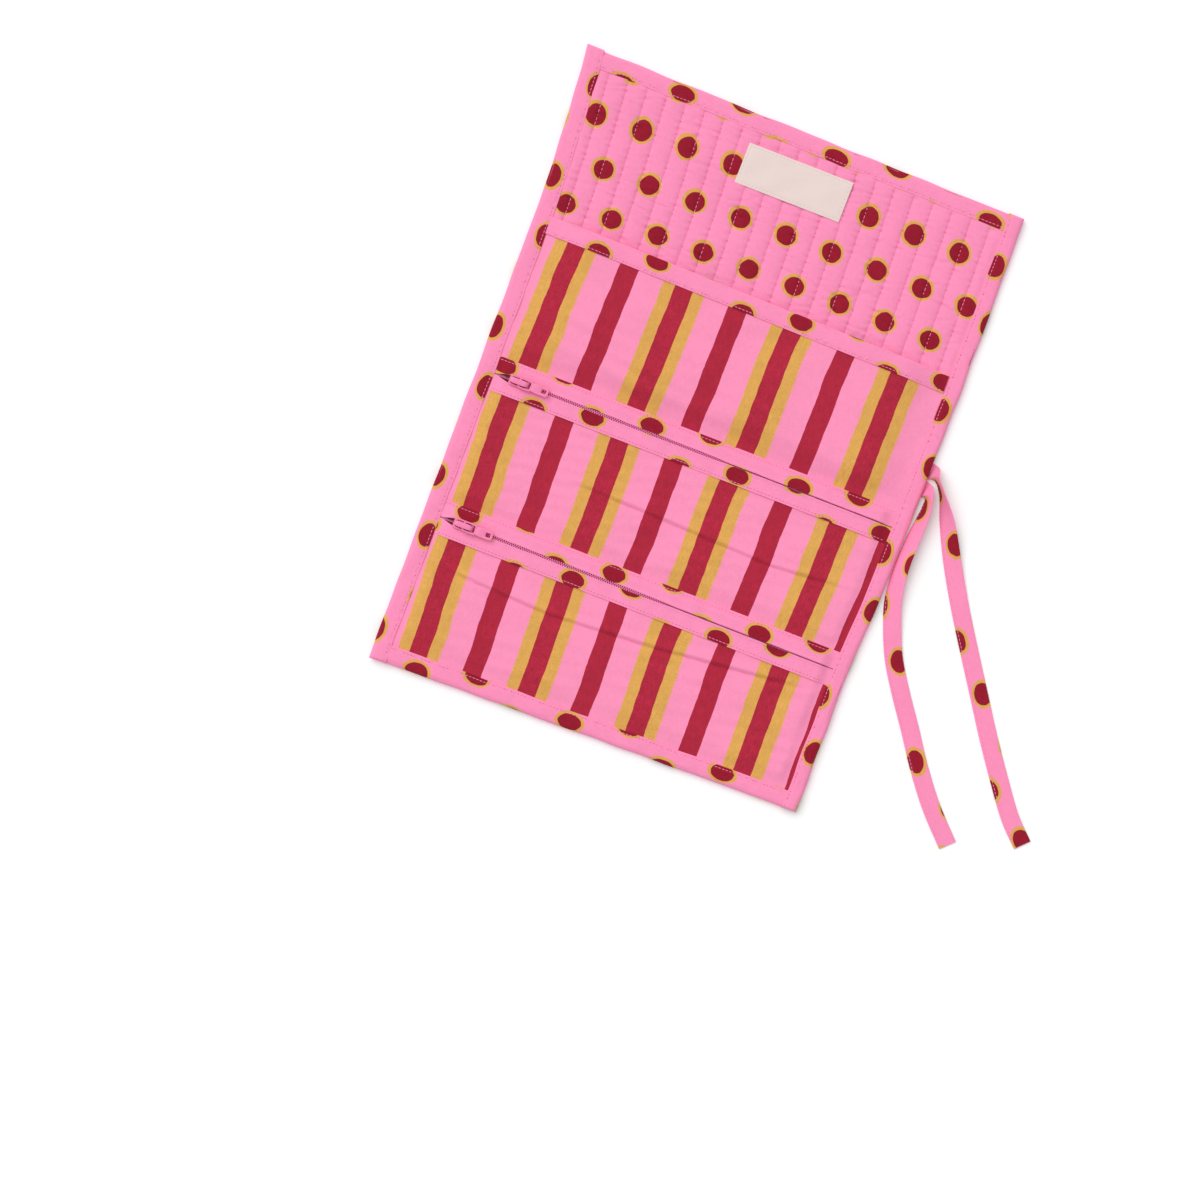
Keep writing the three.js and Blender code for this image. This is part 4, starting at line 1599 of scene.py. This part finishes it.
@dataclass(frozen=True)
class Slider:
    """Zip slider and its pull, cast and enamelled.

    A plate, a hole and the bridge are each a middle along X from the slider's place, a half length and a half
    width. Levels are a lower and an upper face; the bridge's are the height of its feet and its rise.
    """

    name: str
    zip: float
    place: float
    plate: Triple = (-0.1, 5.4, 2.85)
    slot: Triple = (-0.1, 4.3, 1.95)
    plate_level: float = 7.25
    plate_half: float = 0.4
    under: Triple = (-0.4, 4.6, 2.4)
    under_taper: float = 0.3
    under_levels: Pair = (4.2, 4.85)
    post: Pair = (-5.2, -4.1)
    post_half: float = 0.3
    post_levels: Pair = (4.6, 7.2)
    bridge: Triple = (-0.1, 4.9, 1.5)
    bridge_levels: Pair = (7.35, 2.2)
    metal: float = 0.8
    tab: Triple = (11.4, 4.8, 2.55)
    eye: Triple = (13.7, 1.25, 1.1)
    loop: Triple = (3.4, 3.85, 2.85)
    loop_hole: Triple = (3.25, 2.95, 1.95)
    pull_level: float = 8.4
    pull_half: float = 0.45

    def build(self) -> None:
        """The slider's body, and the pull with its loop."""
        post = self.bar(np.linspace(*self.post, 5), np.full(5, self.post_half), self.post_levels, 0.5)
        body = Skin.joined(self.holed(self.plate, self.slot, self.plate_level, self.plate_half),
                           self.lower_plate(), post, self.arch())
        pull = Skin.joined(self.holed(self.tab, self.eye, self.pull_level, self.pull_half),
                           self.holed(self.loop, self.loop_hole, self.pull_level, self.pull_half))
        slider, swing = f"{self.name}_slider", f"{self.name}_pull"
        piece(f"{slider}_body", body, Finish.ENAMEL, slider, [slider], settled=False)
        piece(f"{swing}_tab", pull, Finish.ENAMEL, swing, [swing], settled=False)

    def lower_plate(self) -> Skin:
        """Lower plate: a bar that narrows to the right, with ends rounded as (1 - |t|^5)^(1/2).

        Returns:
            The closed plate.
        """
        t = np.linspace(-1.0, 1.0, 25)
        middle, long, half = self.under
        tip = np.sqrt(np.clip(1.0 - np.abs(t) ** 5, 0.02, 1.0))
        return self.bar(middle + long * t, (half - self.under_taper * t) * tip, self.under_levels, 0.45)

    def arch(self) -> Skin:
        """Bridge: a ribbon that rises as (1 - |t|^9)^(1/2) between its feet, with rounded ends in plan.

        Its section is a rounded rectangle square to that line.

        Returns:
            The closed ribbon.
        """
        foot = np.linspace(0.9, 1.0, 6)
        t = np.concatenate([-foot[::-1], np.linspace(-0.85, 0.85, 15), foot])
        middle, long, half = self.bridge
        level, rise = self.bridge_levels
        xs = middle + long * t
        lift = level + rise * np.clip(1.0 - np.abs(t) ** 9, 0.0, 1.0) ** 0.5
        plan = half * np.sqrt(np.clip(1.0 - np.abs(t) ** 7, 0.3, 1.0))
        dx, dz = np.gradient(xs), np.gradient(lift)
        step = np.hypot(dx, dz)
        c, s = squared(turns(16, 0.5), 0.6)
        x = self.place + xs[:, None] + 0.5 * self.metal * (-dz / step)[:, None] * s
        z = lift[:, None] + 0.5 * self.metal * (dx / step)[:, None] * s
        return loft(np.stack([x, self.zip + plan[:, None] * c, z], -1))

    def bar(self, xs: Array, half: Array, levels: Pair, corner: float) -> Skin:
        """Bar along X whose section is a rounded rectangle.

        The section is the curve |y / half|^n + |z|^n = 1 with n = 2 / corner, between its two levels.

        Args:
            xs: stations from the slider's place.
            half: half width at each station.
            levels: its lower and its upper face.
            corner: 1 for an ellipse, towards 0 for sharper corners.

        Returns:
            The closed bar.
        """
        c, s = squared(turns(20, 0.5), corner)
        low, high = levels
        y = self.zip + half[:, None] * c
        z = np.broadcast_to(0.5 * (low + high) + 0.5 * (high - low) * s, y.shape)
        x = np.broadcast_to(self.place + xs[:, None], y.shape)
        return loft(np.stack([x, y, z], -1))

    def holed(self, outer: Triple, hole: Triple, level: float, half: float) -> Skin:
        """Flat plate with a hole: a section from the hole's outline to the plate's, carried round once.

        Both outlines are |x|^n + |y|^n = 1 drawn out to their sizes, with n = 2 / 0.38. The section is a
        rectangle with its corners cut off.

        Args:
            outer: the plate.
            hole: the hole in it.
            level: height of the plate's middle.
            half: half of the plate's thickness.

        Returns:
            The closed ring.
        """
        c, s = squared(turns(48), 0.38)
        c, s = c[:, None], s[:, None]
        bevel = 0.35 * min(1.0, 0.35 / max(outer[2] - hole[2], 0.3))
        share = np.array([0.0, bevel, 1.0 - bevel, 1.0])
        share = np.concatenate([share, share[::-1]])
        rim = half * np.array([0.5, 1.0, 1.0, 0.5, -0.5, -1.0, -1.0, -0.5])
        x = hole[0] + hole[1] * c + share * (outer[0] - hole[0] + (outer[1] - hole[1]) * c)
        y = (hole[2] + share * (outer[2] - hole[2])) * s
        rings = np.stack([self.place + x, self.zip + y, np.broadcast_to(level + rim, x.shape)], -1)
        return loft(rings, ends=Ends.LOOPED)


@dataclass
class ZippedPocket:
    """Zipped pocket: two dotted bands along the zip, tapes, coil, slider, pull and a striped front.

    The fold's line, the zip, and the front's bottom and seam are places along Y; the front is pressed flat up
    to its seam. The crease is a line of points on the front, and the seed fixes the cloth's uneven lie.
    """

    name: str
    body: str
    fold: Fold
    front_carrier: Carrier
    line: float
    zip: float
    bottom: float
    seam: float
    stripes: Cut
    upper_dots: Cut
    lower_dots: Cut
    crease: Route
    seed: int
    room: float = 1.5
    # Half of the gap between the bands, where they close up, and how they part behind the slider
    gap: float = 0.8
    closing: float = 0.0
    parting: float = 1.25
    parted: Pair = (-109.5, -87.2)
    # From the zip to the lower band's seam and to the front's upper edge
    band: float = 9.1
    front_top: float = 6.3
    # Heights where the cloth is sewn down, and its rises from there
    front_level: float = 4.1
    upper_level: float = 4.25
    lower_level: float = 4.28
    climb: float = 2.05
    over_front: float = 0.47
    lip: float = 0.45
    roll: float = 0.3
    slider: float = -95.5
    thick: float = 0.5
    tape: Pair = (0.6, 6.0)
    tape_level: float = 4.0
    tape_thick: float = 0.4
    teeth: Pair = (-105.8, 105.6)
    tooth_pitch: float = 1.26
    tooth_offset: float = 0.72
    row_half: float = 110.0
    stitching: Stitching = Stitching()
    lie: Rumple = field(init=False)
    folds: Rumple = field(init=False)
    ease_in: Rumple = field(init=False)

    def __post_init__(self) -> None:
        """Draws the cloth's uneven lie from the pocket's seed."""
        self.lie = Rumple(self.seed, (22.0, 60.0), 0.16, heading=70.0, spread=80.0, count=12)
        self.folds = Rumple(self.seed + 1, (6.0, 14.0), 0.10, heading=88.0, spread=18.0, count=10)
        self.ease_in = Rumple(self.seed + 2, (9.0, 30.0), 0.07, heading=0.0, spread=30.0, count=12)

    def open_share(self, x: Array) -> Array:
        """Share of the pocket's room: 1 along the zip, falling to 0 where its ends are sewn down."""
        return ease(OUTLINE.sewn - np.abs(x), 6.5)

    def closed_share(self, x: Array) -> Array:
        """0 along the zip's left part, rising to 1 where the bands have closed up over the coil."""
        return ease(x - self.closing, 26.0)

    def opening(self, x: Array) -> Array:
        """Half the gap between the bands: wider on the left, closing to the right, parted behind the slider.

        Args:
            x: places along the zip.

        Returns:
            Half of the gap at each place.
        """
        start, end = self.parted
        parted = self.parting * ease(x - start, 8.5) * ease(end - x, 4.0)
        even = self.gap - 0.45 * self.closed_share(x) - 0.5 * ease(-105.0 - x, 5.0)
        return even + parted + self.ease_in(x, np.zeros_like(x)) * 0.6

    def rolled(self, x: Array, off: Array) -> Array:
        """Rise of a band at a distance off the zip: over the coil, then rolled under at its edge."""
        lip = self.lip * ease(1.9 - off, 1.2)
        return lip - self.roll * ease(self.opening(x) + 0.45 - off, 0.45)

    def upper(self, x: Array, y: Array) -> Array:
        """Height of the upper band: up from the fold's seam, over the coil, rolled under at the zip."""
        rise = self.climb * ease(self.line + 0.4 - y, 3.4) + self.rolled(x, y - self.zip) + self.ease_in(x, y)
        return self.upper_level + self.open_share(x) * rise

    def lower(self, x: Array, y: Array) -> Array:
        """Height of the lower band: level over the front, over the coil, rolled under at the zip."""
        rise = self.room + self.over_front + self.rolled(x, self.zip - y) + self.ease_in(x, y)
        return self.lower_level + self.open_share(x) * rise

    def front(self, x: Array, y: Array) -> Array:
        """Height of the front: its room, its soft folds, and one crease across it.

        The crease is a ridge beside a sharper valley, both bells of the distance to its line.

        Args:
            x: places along X.
            y: places along Y.

        Returns:
            The height at each place.
        """
        loose = self.open_share(x) * ease(y - self.seam - 1.0, 7.0) * ease(self.zip - 7.0 - y, 5.0)
        route = np.array(self.crease)
        d = y - np.interp(x, route[:, 0], route[:, 1])
        fade = ease(x - route[0, 0], 30.0) * ease(route[-1, 0] - x, 30.0)
        ridge = fade * (1.15 * bell(d - 1.3, 1.9) - 0.85 * bell(d + 0.9, 1.0))
        rise = self.room * self.open_share(x) * ease(y - self.seam, 10.0)
        return self.front_level + rise + loose * (self.lie(x, y) + self.folds(x, y) + ridge)

    def strip(self, xs: Array, edge: Array, far: float) -> tuple[Array, Array]:
        """Grid between an edge that changes along X and a straight line, closer together at both.

        Args:
            xs: places along X.
            edge: the edge's line at each place.
            far: the straight line.

        Returns:
            Both coordinates of the grid.
        """
        q = np.sort(np.concatenate([np.linspace(0.0, 1.0, 15), [0.03, 0.97]]))[:, None]
        y = edge[None] + q * (far - edge[None])
        return np.broadcast_to(xs, y.shape), y

    def build(self) -> None:
        """Every piece of the pocket."""
        self.build_front()
        self.build_bands()
        self.stitch_bands()
        self.build_tapes()
        self.build_coil()
        Slider(self.name, self.zip, self.slider).build()

    def columns(self, step: float) -> Array:
        """Grid lines across the whole pocket."""
        sewn, reach = OUTLINE.sewn, OUTLINE.reach
        return lines((-reach, -sewn, -103.0, 103.0, sewn, reach), step)

    def build_front(self) -> None:
        """The striped front."""
        top = self.zip - self.front_top
        x, y = np.meshgrid(self.columns(1.2), lines((self.bottom, self.seam, top), 0.8))
        face = self.front(x, y)
        skin = sheet(x, y, face, face - self.thick, self.stripes)
        nodes = [f"{self.name}_pocket_front"]
        cloth = piece(f"{self.name}_front", skin, Finish.STRIPES, self.front_carrier, nodes)
        size = (2.0 * OUTLINE.reach * MM, (top - self.bottom) * MM)

    def build_bands(self) -> None:
        """The dotted bands from the fold to the zip and from the zip to the front."""
        name, short = self.name, lines((-OUTLINE.bound, -103.0, 103.0, 113.0), 1.0)
        upper = (1.0, self.columns(1.0), self.line + 0.7, self.upper, self.upper_dots, self.fold, 0.2378)
        lower = (-1.0, short, self.zip - self.band, self.lower, self.lower_dots, self.body, 0.2236)
        for label, band in (("upper", upper), ("lower", lower)):
            side, xs, far, height, dots, carrier, long = band
            x, y = self.strip(xs, self.zip + side * self.opening(xs), far)
            top = height(x, y)
            skin = sheet(x, y, top, top - self.thick, dots)
            cloth = piece(f"{name}_{label}_strip", skin, Finish.DOTS, carrier, [f"{name}_{label}_band"])

    def stitch_bands(self) -> None:
        """Each band's row of stitches, along its far edge."""
        half, high, low = self.row_half, self.line - 0.7, self.zip - self.band + 1.3
        row = self.stitching.row((-half, high), (half, high), self.upper)
        piece(f"{self.name}_upper_stitches", row, Finish.PINK_THREAD, self.fold)
        row = self.stitching.row((-half, low), (half, low), self.lower)
        piece(f"{self.name}_lower_stitches", row, Finish.PINK_THREAD, self.body)

    def build_tapes(self) -> None:
        """Both tapes, one on either side of the zip."""
        name, tapes = self.name, []
        xs = lines((-self.row_half, -103.0, 103.0, self.row_half), 1.5)
        for side in (1.0, -1.0):
            x, y = np.meshgrid(xs, self.zip + side * lines(self.tape, 0.9))
            top = self.tape_level + self.room * self.open_share(x)
            tapes.append(sheet(x, y, top, top - self.tape_thick, Cut((0.0, self.zip))))
        nodes = [f"{name}_upper_tape", f"{name}_lower_tape"]
        # The tapes' colour is painted shade, for the shadow in the gap along the zip.
        woven = piece(f"{name}_tapes", Skin.joined(*tapes), Finish.TAPE, self.body, nodes)

    def build_coil(self) -> None:
        """The coil's teeth along the tapes: meshed to the right of the slider, parted behind it."""
        name, shape, rows = self.name, self.tooth(), []
        for side in (1.0, -1.0):
            start = 0.5 * self.tooth_pitch if side > 0.0 else 0.0
            places = np.arange(*self.teeth, self.tooth_pitch) + start
            behind = ease(self.slider - 3.0 - places, 4.0)
            spread = 0.55 * ease(self.slider - 1.0 - places, 4.0)
            rise = 1.95 - 0.95 * behind - 0.65 * self.closed_share(places)
            height = self.front_level + rise * self.open_share(places)
            where = np.column_stack([places, self.zip + side * (self.tooth_offset + spread), height])
            number = len(places)
            along = np.broadcast_to(np.array([0.0, -side, 0.0]), (number, 3))
            up = np.broadcast_to(np.array([0.0, 0.0, 1.0]), (number, 3))
            rows.append(copies(shape, where, along, up, np.ones(number)))
        nodes = [f"{name}_upper_coil", f"{name}_lower_coil"]
        piece(f"{name}_coil", Skin.joined(*rows), Finish.COIL, self.body, nodes)

    def tooth(self) -> Skin:
        """One turn of the coil: a rounded bar across the zip with a broader head at its inner end.

        Returns:
            The closed bar, drawn along X.
        """
        t = np.array([-0.8, -0.72, -0.2, 0.35, 0.62, 0.76])
        r = np.array([0.12, 0.27, 0.27, 0.29, 0.33, 0.14])
        return bead(t, 1.6 * r, r, -0.12 * t**2)


def zipped_pockets() -> tuple[ZippedPocket, ZippedPocket]:
    """The two zipped pockets, from the slip pocket downwards.

    Returns:
        Both pockets with their lines, prints and creases.
    """
    first = ZippedPocket(
        name="zip1", body="zip1_section", fold=Fold.UPPER, front_carrier=Fold.LOWER,
        line=-0.5, zip=-9.3, bottom=-80.0, seam=-80.0,
        stripes=Cut((-108.8, -48.0), lean=0.03, gather=2.3),
        upper_dots=Cut((-23.9, -5.3), BIAS + 0.7, 1.19),
        lower_dots=Cut((-54.6, -12.0), BIAS, 1.17),
        crease=((-60.0, -47.0), (0.0, -48.5), (60.0, -50.5), (108.0, -47.0)), seed=51)
    second = ZippedPocket(
        name="zip2", body="zip2_section", fold=Fold.LOWER, front_carrier="zip2_section",
        line=-80.3, zip=-89.1, bottom=-165.9, seam=-157.3,
        stripes=Cut((-108.2, -128.0), lean=0.03, gather=1.1),
        upper_dots=Cut((-14.2, -83.9), BIAS + 0.6, 1.19),
        lower_dots=Cut((-33.4, -94.5), BIAS, 1.19),
        crease=((-108.0, -112.0), (-40.0, -115.5), (20.0, -112.0), (108.0, -103.0)), seed=61)
    return first, second


@dataclass
class TieStrap:
    """Flat tie strap: its middle sewn under the case, both ends led out under the right edge.

    A route's points are distances right of the case's edge and from the strap's line, and the strap's bank in
    degrees. The seam is a share of half the width.
    """

    SIDES: ClassVar[tuple[float, ...]] = (-1.0, -0.93, -0.8, -0.4, 0.0, 0.4, 0.8, 0.93, 1.0)
    PADDING: ClassVar[tuple[float, ...]] = (0.45, 0.95, 1.0, 0.86, 0.82, 0.86, 0.92, 0.9, 0.45)

    width: float = 9.5
    thick: float = 0.7
    lift: float = 0.03
    line: float = 20.0
    apart: float = 5.0
    edge: float = 120.0
    start: float = 0.3
    route_a: Route = (
        (-2.0, 5.0, 0.0), (1.0, 5.0, 0.0), (4.6, 3.0, 72.0), (9.6, -2.6, 80.0), (18.3, -16.5, 42.0),
        (28.9, -35.3, 12.0), (40.0, -53.8, 2.0), (53.7, -74.8, 0.0), (65.8, -92.9, 0.0), (78.8, -112.4, 0.0),
        (92.5, -131.6, 0.0), (105.0, -148.0, 0.0), (115.9, -158.8, 0.0))
    route_b: Route = (
        (-2.0, -5.0, 0.0), (1.0, -5.0, 0.0), (4.3, -7.2, 64.0), (5.6, -13.2, 64.0), (5.5, -21.0, 54.0),
        (4.9, -32.0, 44.0), (4.6, -44.0, 40.0), (5.2, -54.0, 34.0), (7.1, -65.0, 22.0), (10.9, -75.8, 10.0),
        (18.0, -91.9, 2.0), (28.0, -107.6, 0.0), (38.9, -122.9, 0.0), (51.7, -141.4, 0.0),
        (64.6, -157.6, 0.0), (79.6, -173.0, 0.0))
    sewn_long: float = 14.0
    sewn_half: float = 9.75
    border: float = 1.4
    border_half: float = 8.4
    seam: float = 0.78
    stitching: Stitching = Stitching(2.0, 1.5, 0.34, 0.18, 0.32)

    def path(self, route: Route, start: float, steps: int = 10) -> Array:
        """Smooth line through the route's points: x, y and bank in radians.

        Each span is a cubic with its tangents from the four points around it, weighed by the square roots of
        their distances. Each end is drawn on by its own span.

        Args:
            route: distances right of the edge and from the strap's line, and bank in degrees.
            start: line on which this end leaves the strap's sewn middle.
            steps: points in each span.

        Returns:
            The line's points.
        """
        far = [(self.edge + dx, self.line + dy, bank) for dx, dy, bank in route]
        p = np.array([(self.start, start, 0.0), (0.5 * self.edge, start, 0.0), *far])
        p[:, 2] = np.radians(p[:, 2])
        p = np.concatenate([[2.0 * p[0] - p[1]], p, [2.0 * p[-1] - p[-2]]])
        span = np.sqrt(np.linalg.norm(np.diff(p, axis=0), axis=1))[:, None]
        d0, d1, d2 = span[:-2], span[1:-1], span[2:]
        a, b, c, d = p[:-3], p[1:-2], p[2:-1], p[3:]
        t1 = d1 * ((b - a) / d0 - (c - a) / (d0 + d1) + (c - b) / d1)
        t2 = d1 * ((c - b) / d1 - (d - b) / (d1 + d2) + (d - c) / d2)
        t = (np.arange(steps) / steps)[None, :, None]
        b, c, t1, t2 = (v[:, None] for v in (b, c, t1, t2))
        curve = b + t1 * t + (3.0 * (c - b) - 2.0 * t1 - t2) * t**2 + (2.0 * (b - c) + t1 + t2) * t**3
        return np.concatenate([curve.reshape(-1, 3), p[-2:-1]])

    def frames(self, path: Array) -> tuple[Array, Array, Array]:
        """Centre, across and up directions along the line; a banked stretch leans on its inner edge.

        Args:
            path: the line's points, x, y and bank.

        Returns:
            Three lists of points and directions, one for each point of the line.
        """
        along = unit(np.gradient(path[:, :2], axis=0))
        bank = np.maximum(path[:, 2], 0.0)
        c, s = np.cos(bank), np.sin(bank)
        z = self.lift + 0.5 * (self.width * s + self.thick * c)
        across = np.column_stack([-along[:, 1] * c, along[:, 0] * c, s])
        up = np.column_stack([along[:, 1] * s, -along[:, 0] * s, c])
        return np.column_stack([path[:, :2], z]), across, up

    def end(self, name: str, route: Route, start: float, cut: Cut) -> None:
        """One loose end with its edge stitching.

        Args:
            name: the end's letter.
            route: its points.
            start: line on which it leaves the sewn middle.
            cut: how the dots lie along and across it.
        """
        centre, across, up = self.frames(self.path(route, start))
        sides, padding = np.array(self.SIDES), np.array(self.PADDING)
        a = 0.5 * self.width * np.concatenate([sides, sides[::-1]])
        b = 0.5 * self.thick * np.concatenate([-padding, padding[::-1]])
        rings = centre[:, None] + a[None, :, None] * across[:, None] + b[None, :, None] * up[:, None]
        long = np.concatenate([[0.0], np.cumsum(np.linalg.norm(np.diff(centre, axis=0), axis=1))])
        along, over = np.meshgrid(long, np.append(a, a[0]), indexing="ij")
        skin = loft(rings, cut.lay(along, over))
        nodes = [f"strap_end_{name}"]
        strap = piece(f"strap_{name}", skin, Finish.DOTS, "slip_section", nodes, settled=False)
        seams = self.stitch_end(name, long, centre, across, up)

    def stitch_end(self, name: str, long: Array, centre: Array, across: Array,
                   up: Array) -> bpy.types.Object:
        """Edge stitches on both faces of a loose end.

        Args:
            name: the end's letter.
            long: distance along the end of each point of its line.
            centre: the line's points.
            across: direction across the strap at each point.
            up: direction out of its face at each point.

        Returns:
            The piece that holds the stitches.
        """
        stations = np.arange(4.0, long[-1] - 2.0, self.stitching.pitch)
        here, out, over = (np.column_stack([np.interp(stations, long, rows[:, k]) for k in range(3)])
                           for rows in (centre, across, up))
        direction, over = unit(np.gradient(here, axis=0)), unit(over)
        row = here - self.seam * 0.5 * self.width * out
        face = 0.95 * 0.5 * self.thick * over
        stitches = Skin.joined(self.stitching.sewn(row + face, direction, over),
                               self.stitching.sewn(row - face, direction, -over))
        return piece(f"strap_{name}_stitches", stitches, Finish.PINK_THREAD, "slip_section", settled=False)

    def foot(self, x: Array, _: Array) -> Array:
        """Height of the sewn middle's lower face, which is level."""
        return np.full_like(x, self.lift)

    def build(self) -> None:
        """Both ends and the sewn-down middle."""
        self.end("a", self.route_a, self.line + self.apart, Cut((163.0, 3.5), BIAS, 1.14))
        self.end("b", self.route_b, self.line - self.apart, Cut((163.5, 6.2), 38.0, 1.19))
        self.build_middle()

    def build_middle(self) -> None:
        """The sewn-down middle, with stitches round its border and from corner to corner."""
        low, high = self.line - self.sewn_half, self.line + self.sewn_half
        x, y = np.meshgrid(lines((-self.sewn_long, 0.0), 1.0), lines((low, high), 1.0))
        under = self.foot(x, y)
        skin = sheet(x, y, under + self.thick, under, Cut((-0.5 * self.sewn_long, self.line), BIAS))
        patch = piece("strap_middle", skin, Finish.DOTS, "slip_section", ["strap_anchor"], settled=False)
        left, right = self.border - self.sewn_long, -self.border
        low, high = self.line - self.border_half, self.line + self.border_half
        corners = [(left, low), (right, low), (right, high), (left, high), (left, low), (right, high)]
        rows = self.stitching.path(corners, self.foot, -1.0)
        piece("strap_middle_stitches", rows, Finish.PINK_THREAD, "slip_section", settled=False)


# Studio


@dataclass(frozen=True)
class Studio:
    """Pale floor, soft light from the upper left and a camera straight above.

    The frame's centre and span and the cloth's level are in millimetres, the camera's height and the floor in
    metres, and angles in degrees.
    """

    centre: Pair = (-15.5, -99.4)
    turn: float = 21.23
    span: float = 624.0
    height: float = 1.6
    cloth_level: float = 4.5
    sensor: float = 36.0
    floor_reach: float = 3.0
    floor_level: float = -0.0002
    floor_glow: float = 0.08
    surround: float = 0.56
    lamp: float = 1.75
    lamp_size: float = 50.0
    lamp_tilt: Pair = (-38.0, -32.0)

    def build(self) -> None:
        """Floor, lights and camera."""
        self.floor()
        self.lights()
        self.camera()
        bpy.context.scene.view_settings.view_transform = "Standard"

    def paper(self) -> Material:
        """White paper with a faint grain, which shines a little to the camera and keeps the shadow.

        Returns:
            The finished material.
        """
        dye = Dye("pale_floor")
        kinds = ("Is Camera Ray", "Is Glossy Ray", "Is Transmission Ray")
        direct, glossy, clear = (dye.node("ShaderNodeLightPath", None, None, kind) for kind in kinds)
        seen = direct.most(glossy).most(clear)
        x, y, _ = dye.place()
        grain = dye.noise(x * 40.0, y * 40.0)
        shade = dye.mix(linear((250, 250, 250)), linear((252, 252, 252)), grain)
        glow = dye.mix((0.0, 0.0, 0.0, 1.0), (1.0, 1.0, 1.0, 1.0), seen)
        return dye.surface(Base_Color=shade, Roughness=0.9, Specular_IOR_Level=0.0, Emission_Color=glow,
                           Emission_Strength=self.floor_glow)

    def floor(self) -> None:
        """A wide floor just under the case."""
        reach, low = self.floor_reach, self.floor_level
        corners = [(-reach, -reach, low), (reach, -reach, low), (reach, reach, low), (-reach, reach, low)]
        mesh = bpy.data.meshes.new("floor")
        mesh.from_pydata(corners, [], [(0, 1, 2, 3)])
        mesh.materials.append(self.paper())
        made = bpy.data.objects.new("floor", mesh)
        bpy.context.scene.collection.objects.link(made)

    def lights(self) -> None:
        """One broad even light from the upper left, and an even white surround."""
        world = bpy.data.worlds.new("studio")
        world.use_nodes = True
        sky = world.node_tree.nodes["Background"].inputs
        sky["Color"].default_value = (1.0, 1.0, 1.0, 1.0)
        sky["Strength"].default_value = self.surround
        bpy.context.scene.world = world
        lamp = bpy.data.lights.new("softbox", "SUN")
        lamp.energy = self.lamp
        lamp.angle = math.radians(self.lamp_size)
        made = bpy.data.objects.new("softbox", lamp)
        made.rotation_euler = (0.0, *np.radians(self.lamp_tilt))
        bpy.context.scene.collection.objects.link(made)

    def camera(self) -> None:
        """Camera straight above, turned about its own axis as the case lies in the frame."""
        data = bpy.data.cameras.new("camera")
        data.sensor_width = self.sensor
        data.lens = self.sensor * self.height / (self.span * MM)
        made = bpy.data.objects.new("camera", data)
        made.location = (self.centre[0] * MM, self.centre[1] * MM, self.height + self.cloth_level * MM)
        made.rotation_euler = (0.0, 0.0, math.radians(self.turn))
        bpy.context.scene.collection.objects.link(made)
        bpy.context.scene.camera = made


def main() -> None:
    """Builds the studio and every sub-assembly in order."""
    logging.basicConfig(level=logging.INFO, format="%(message)s")
    for part in (Studio(), TieStrap(), Quilt(), Binding(), Label(), SlipPocket(), *zipped_pockets()):
        part.build()


if __name__ == "__main__":
    main()
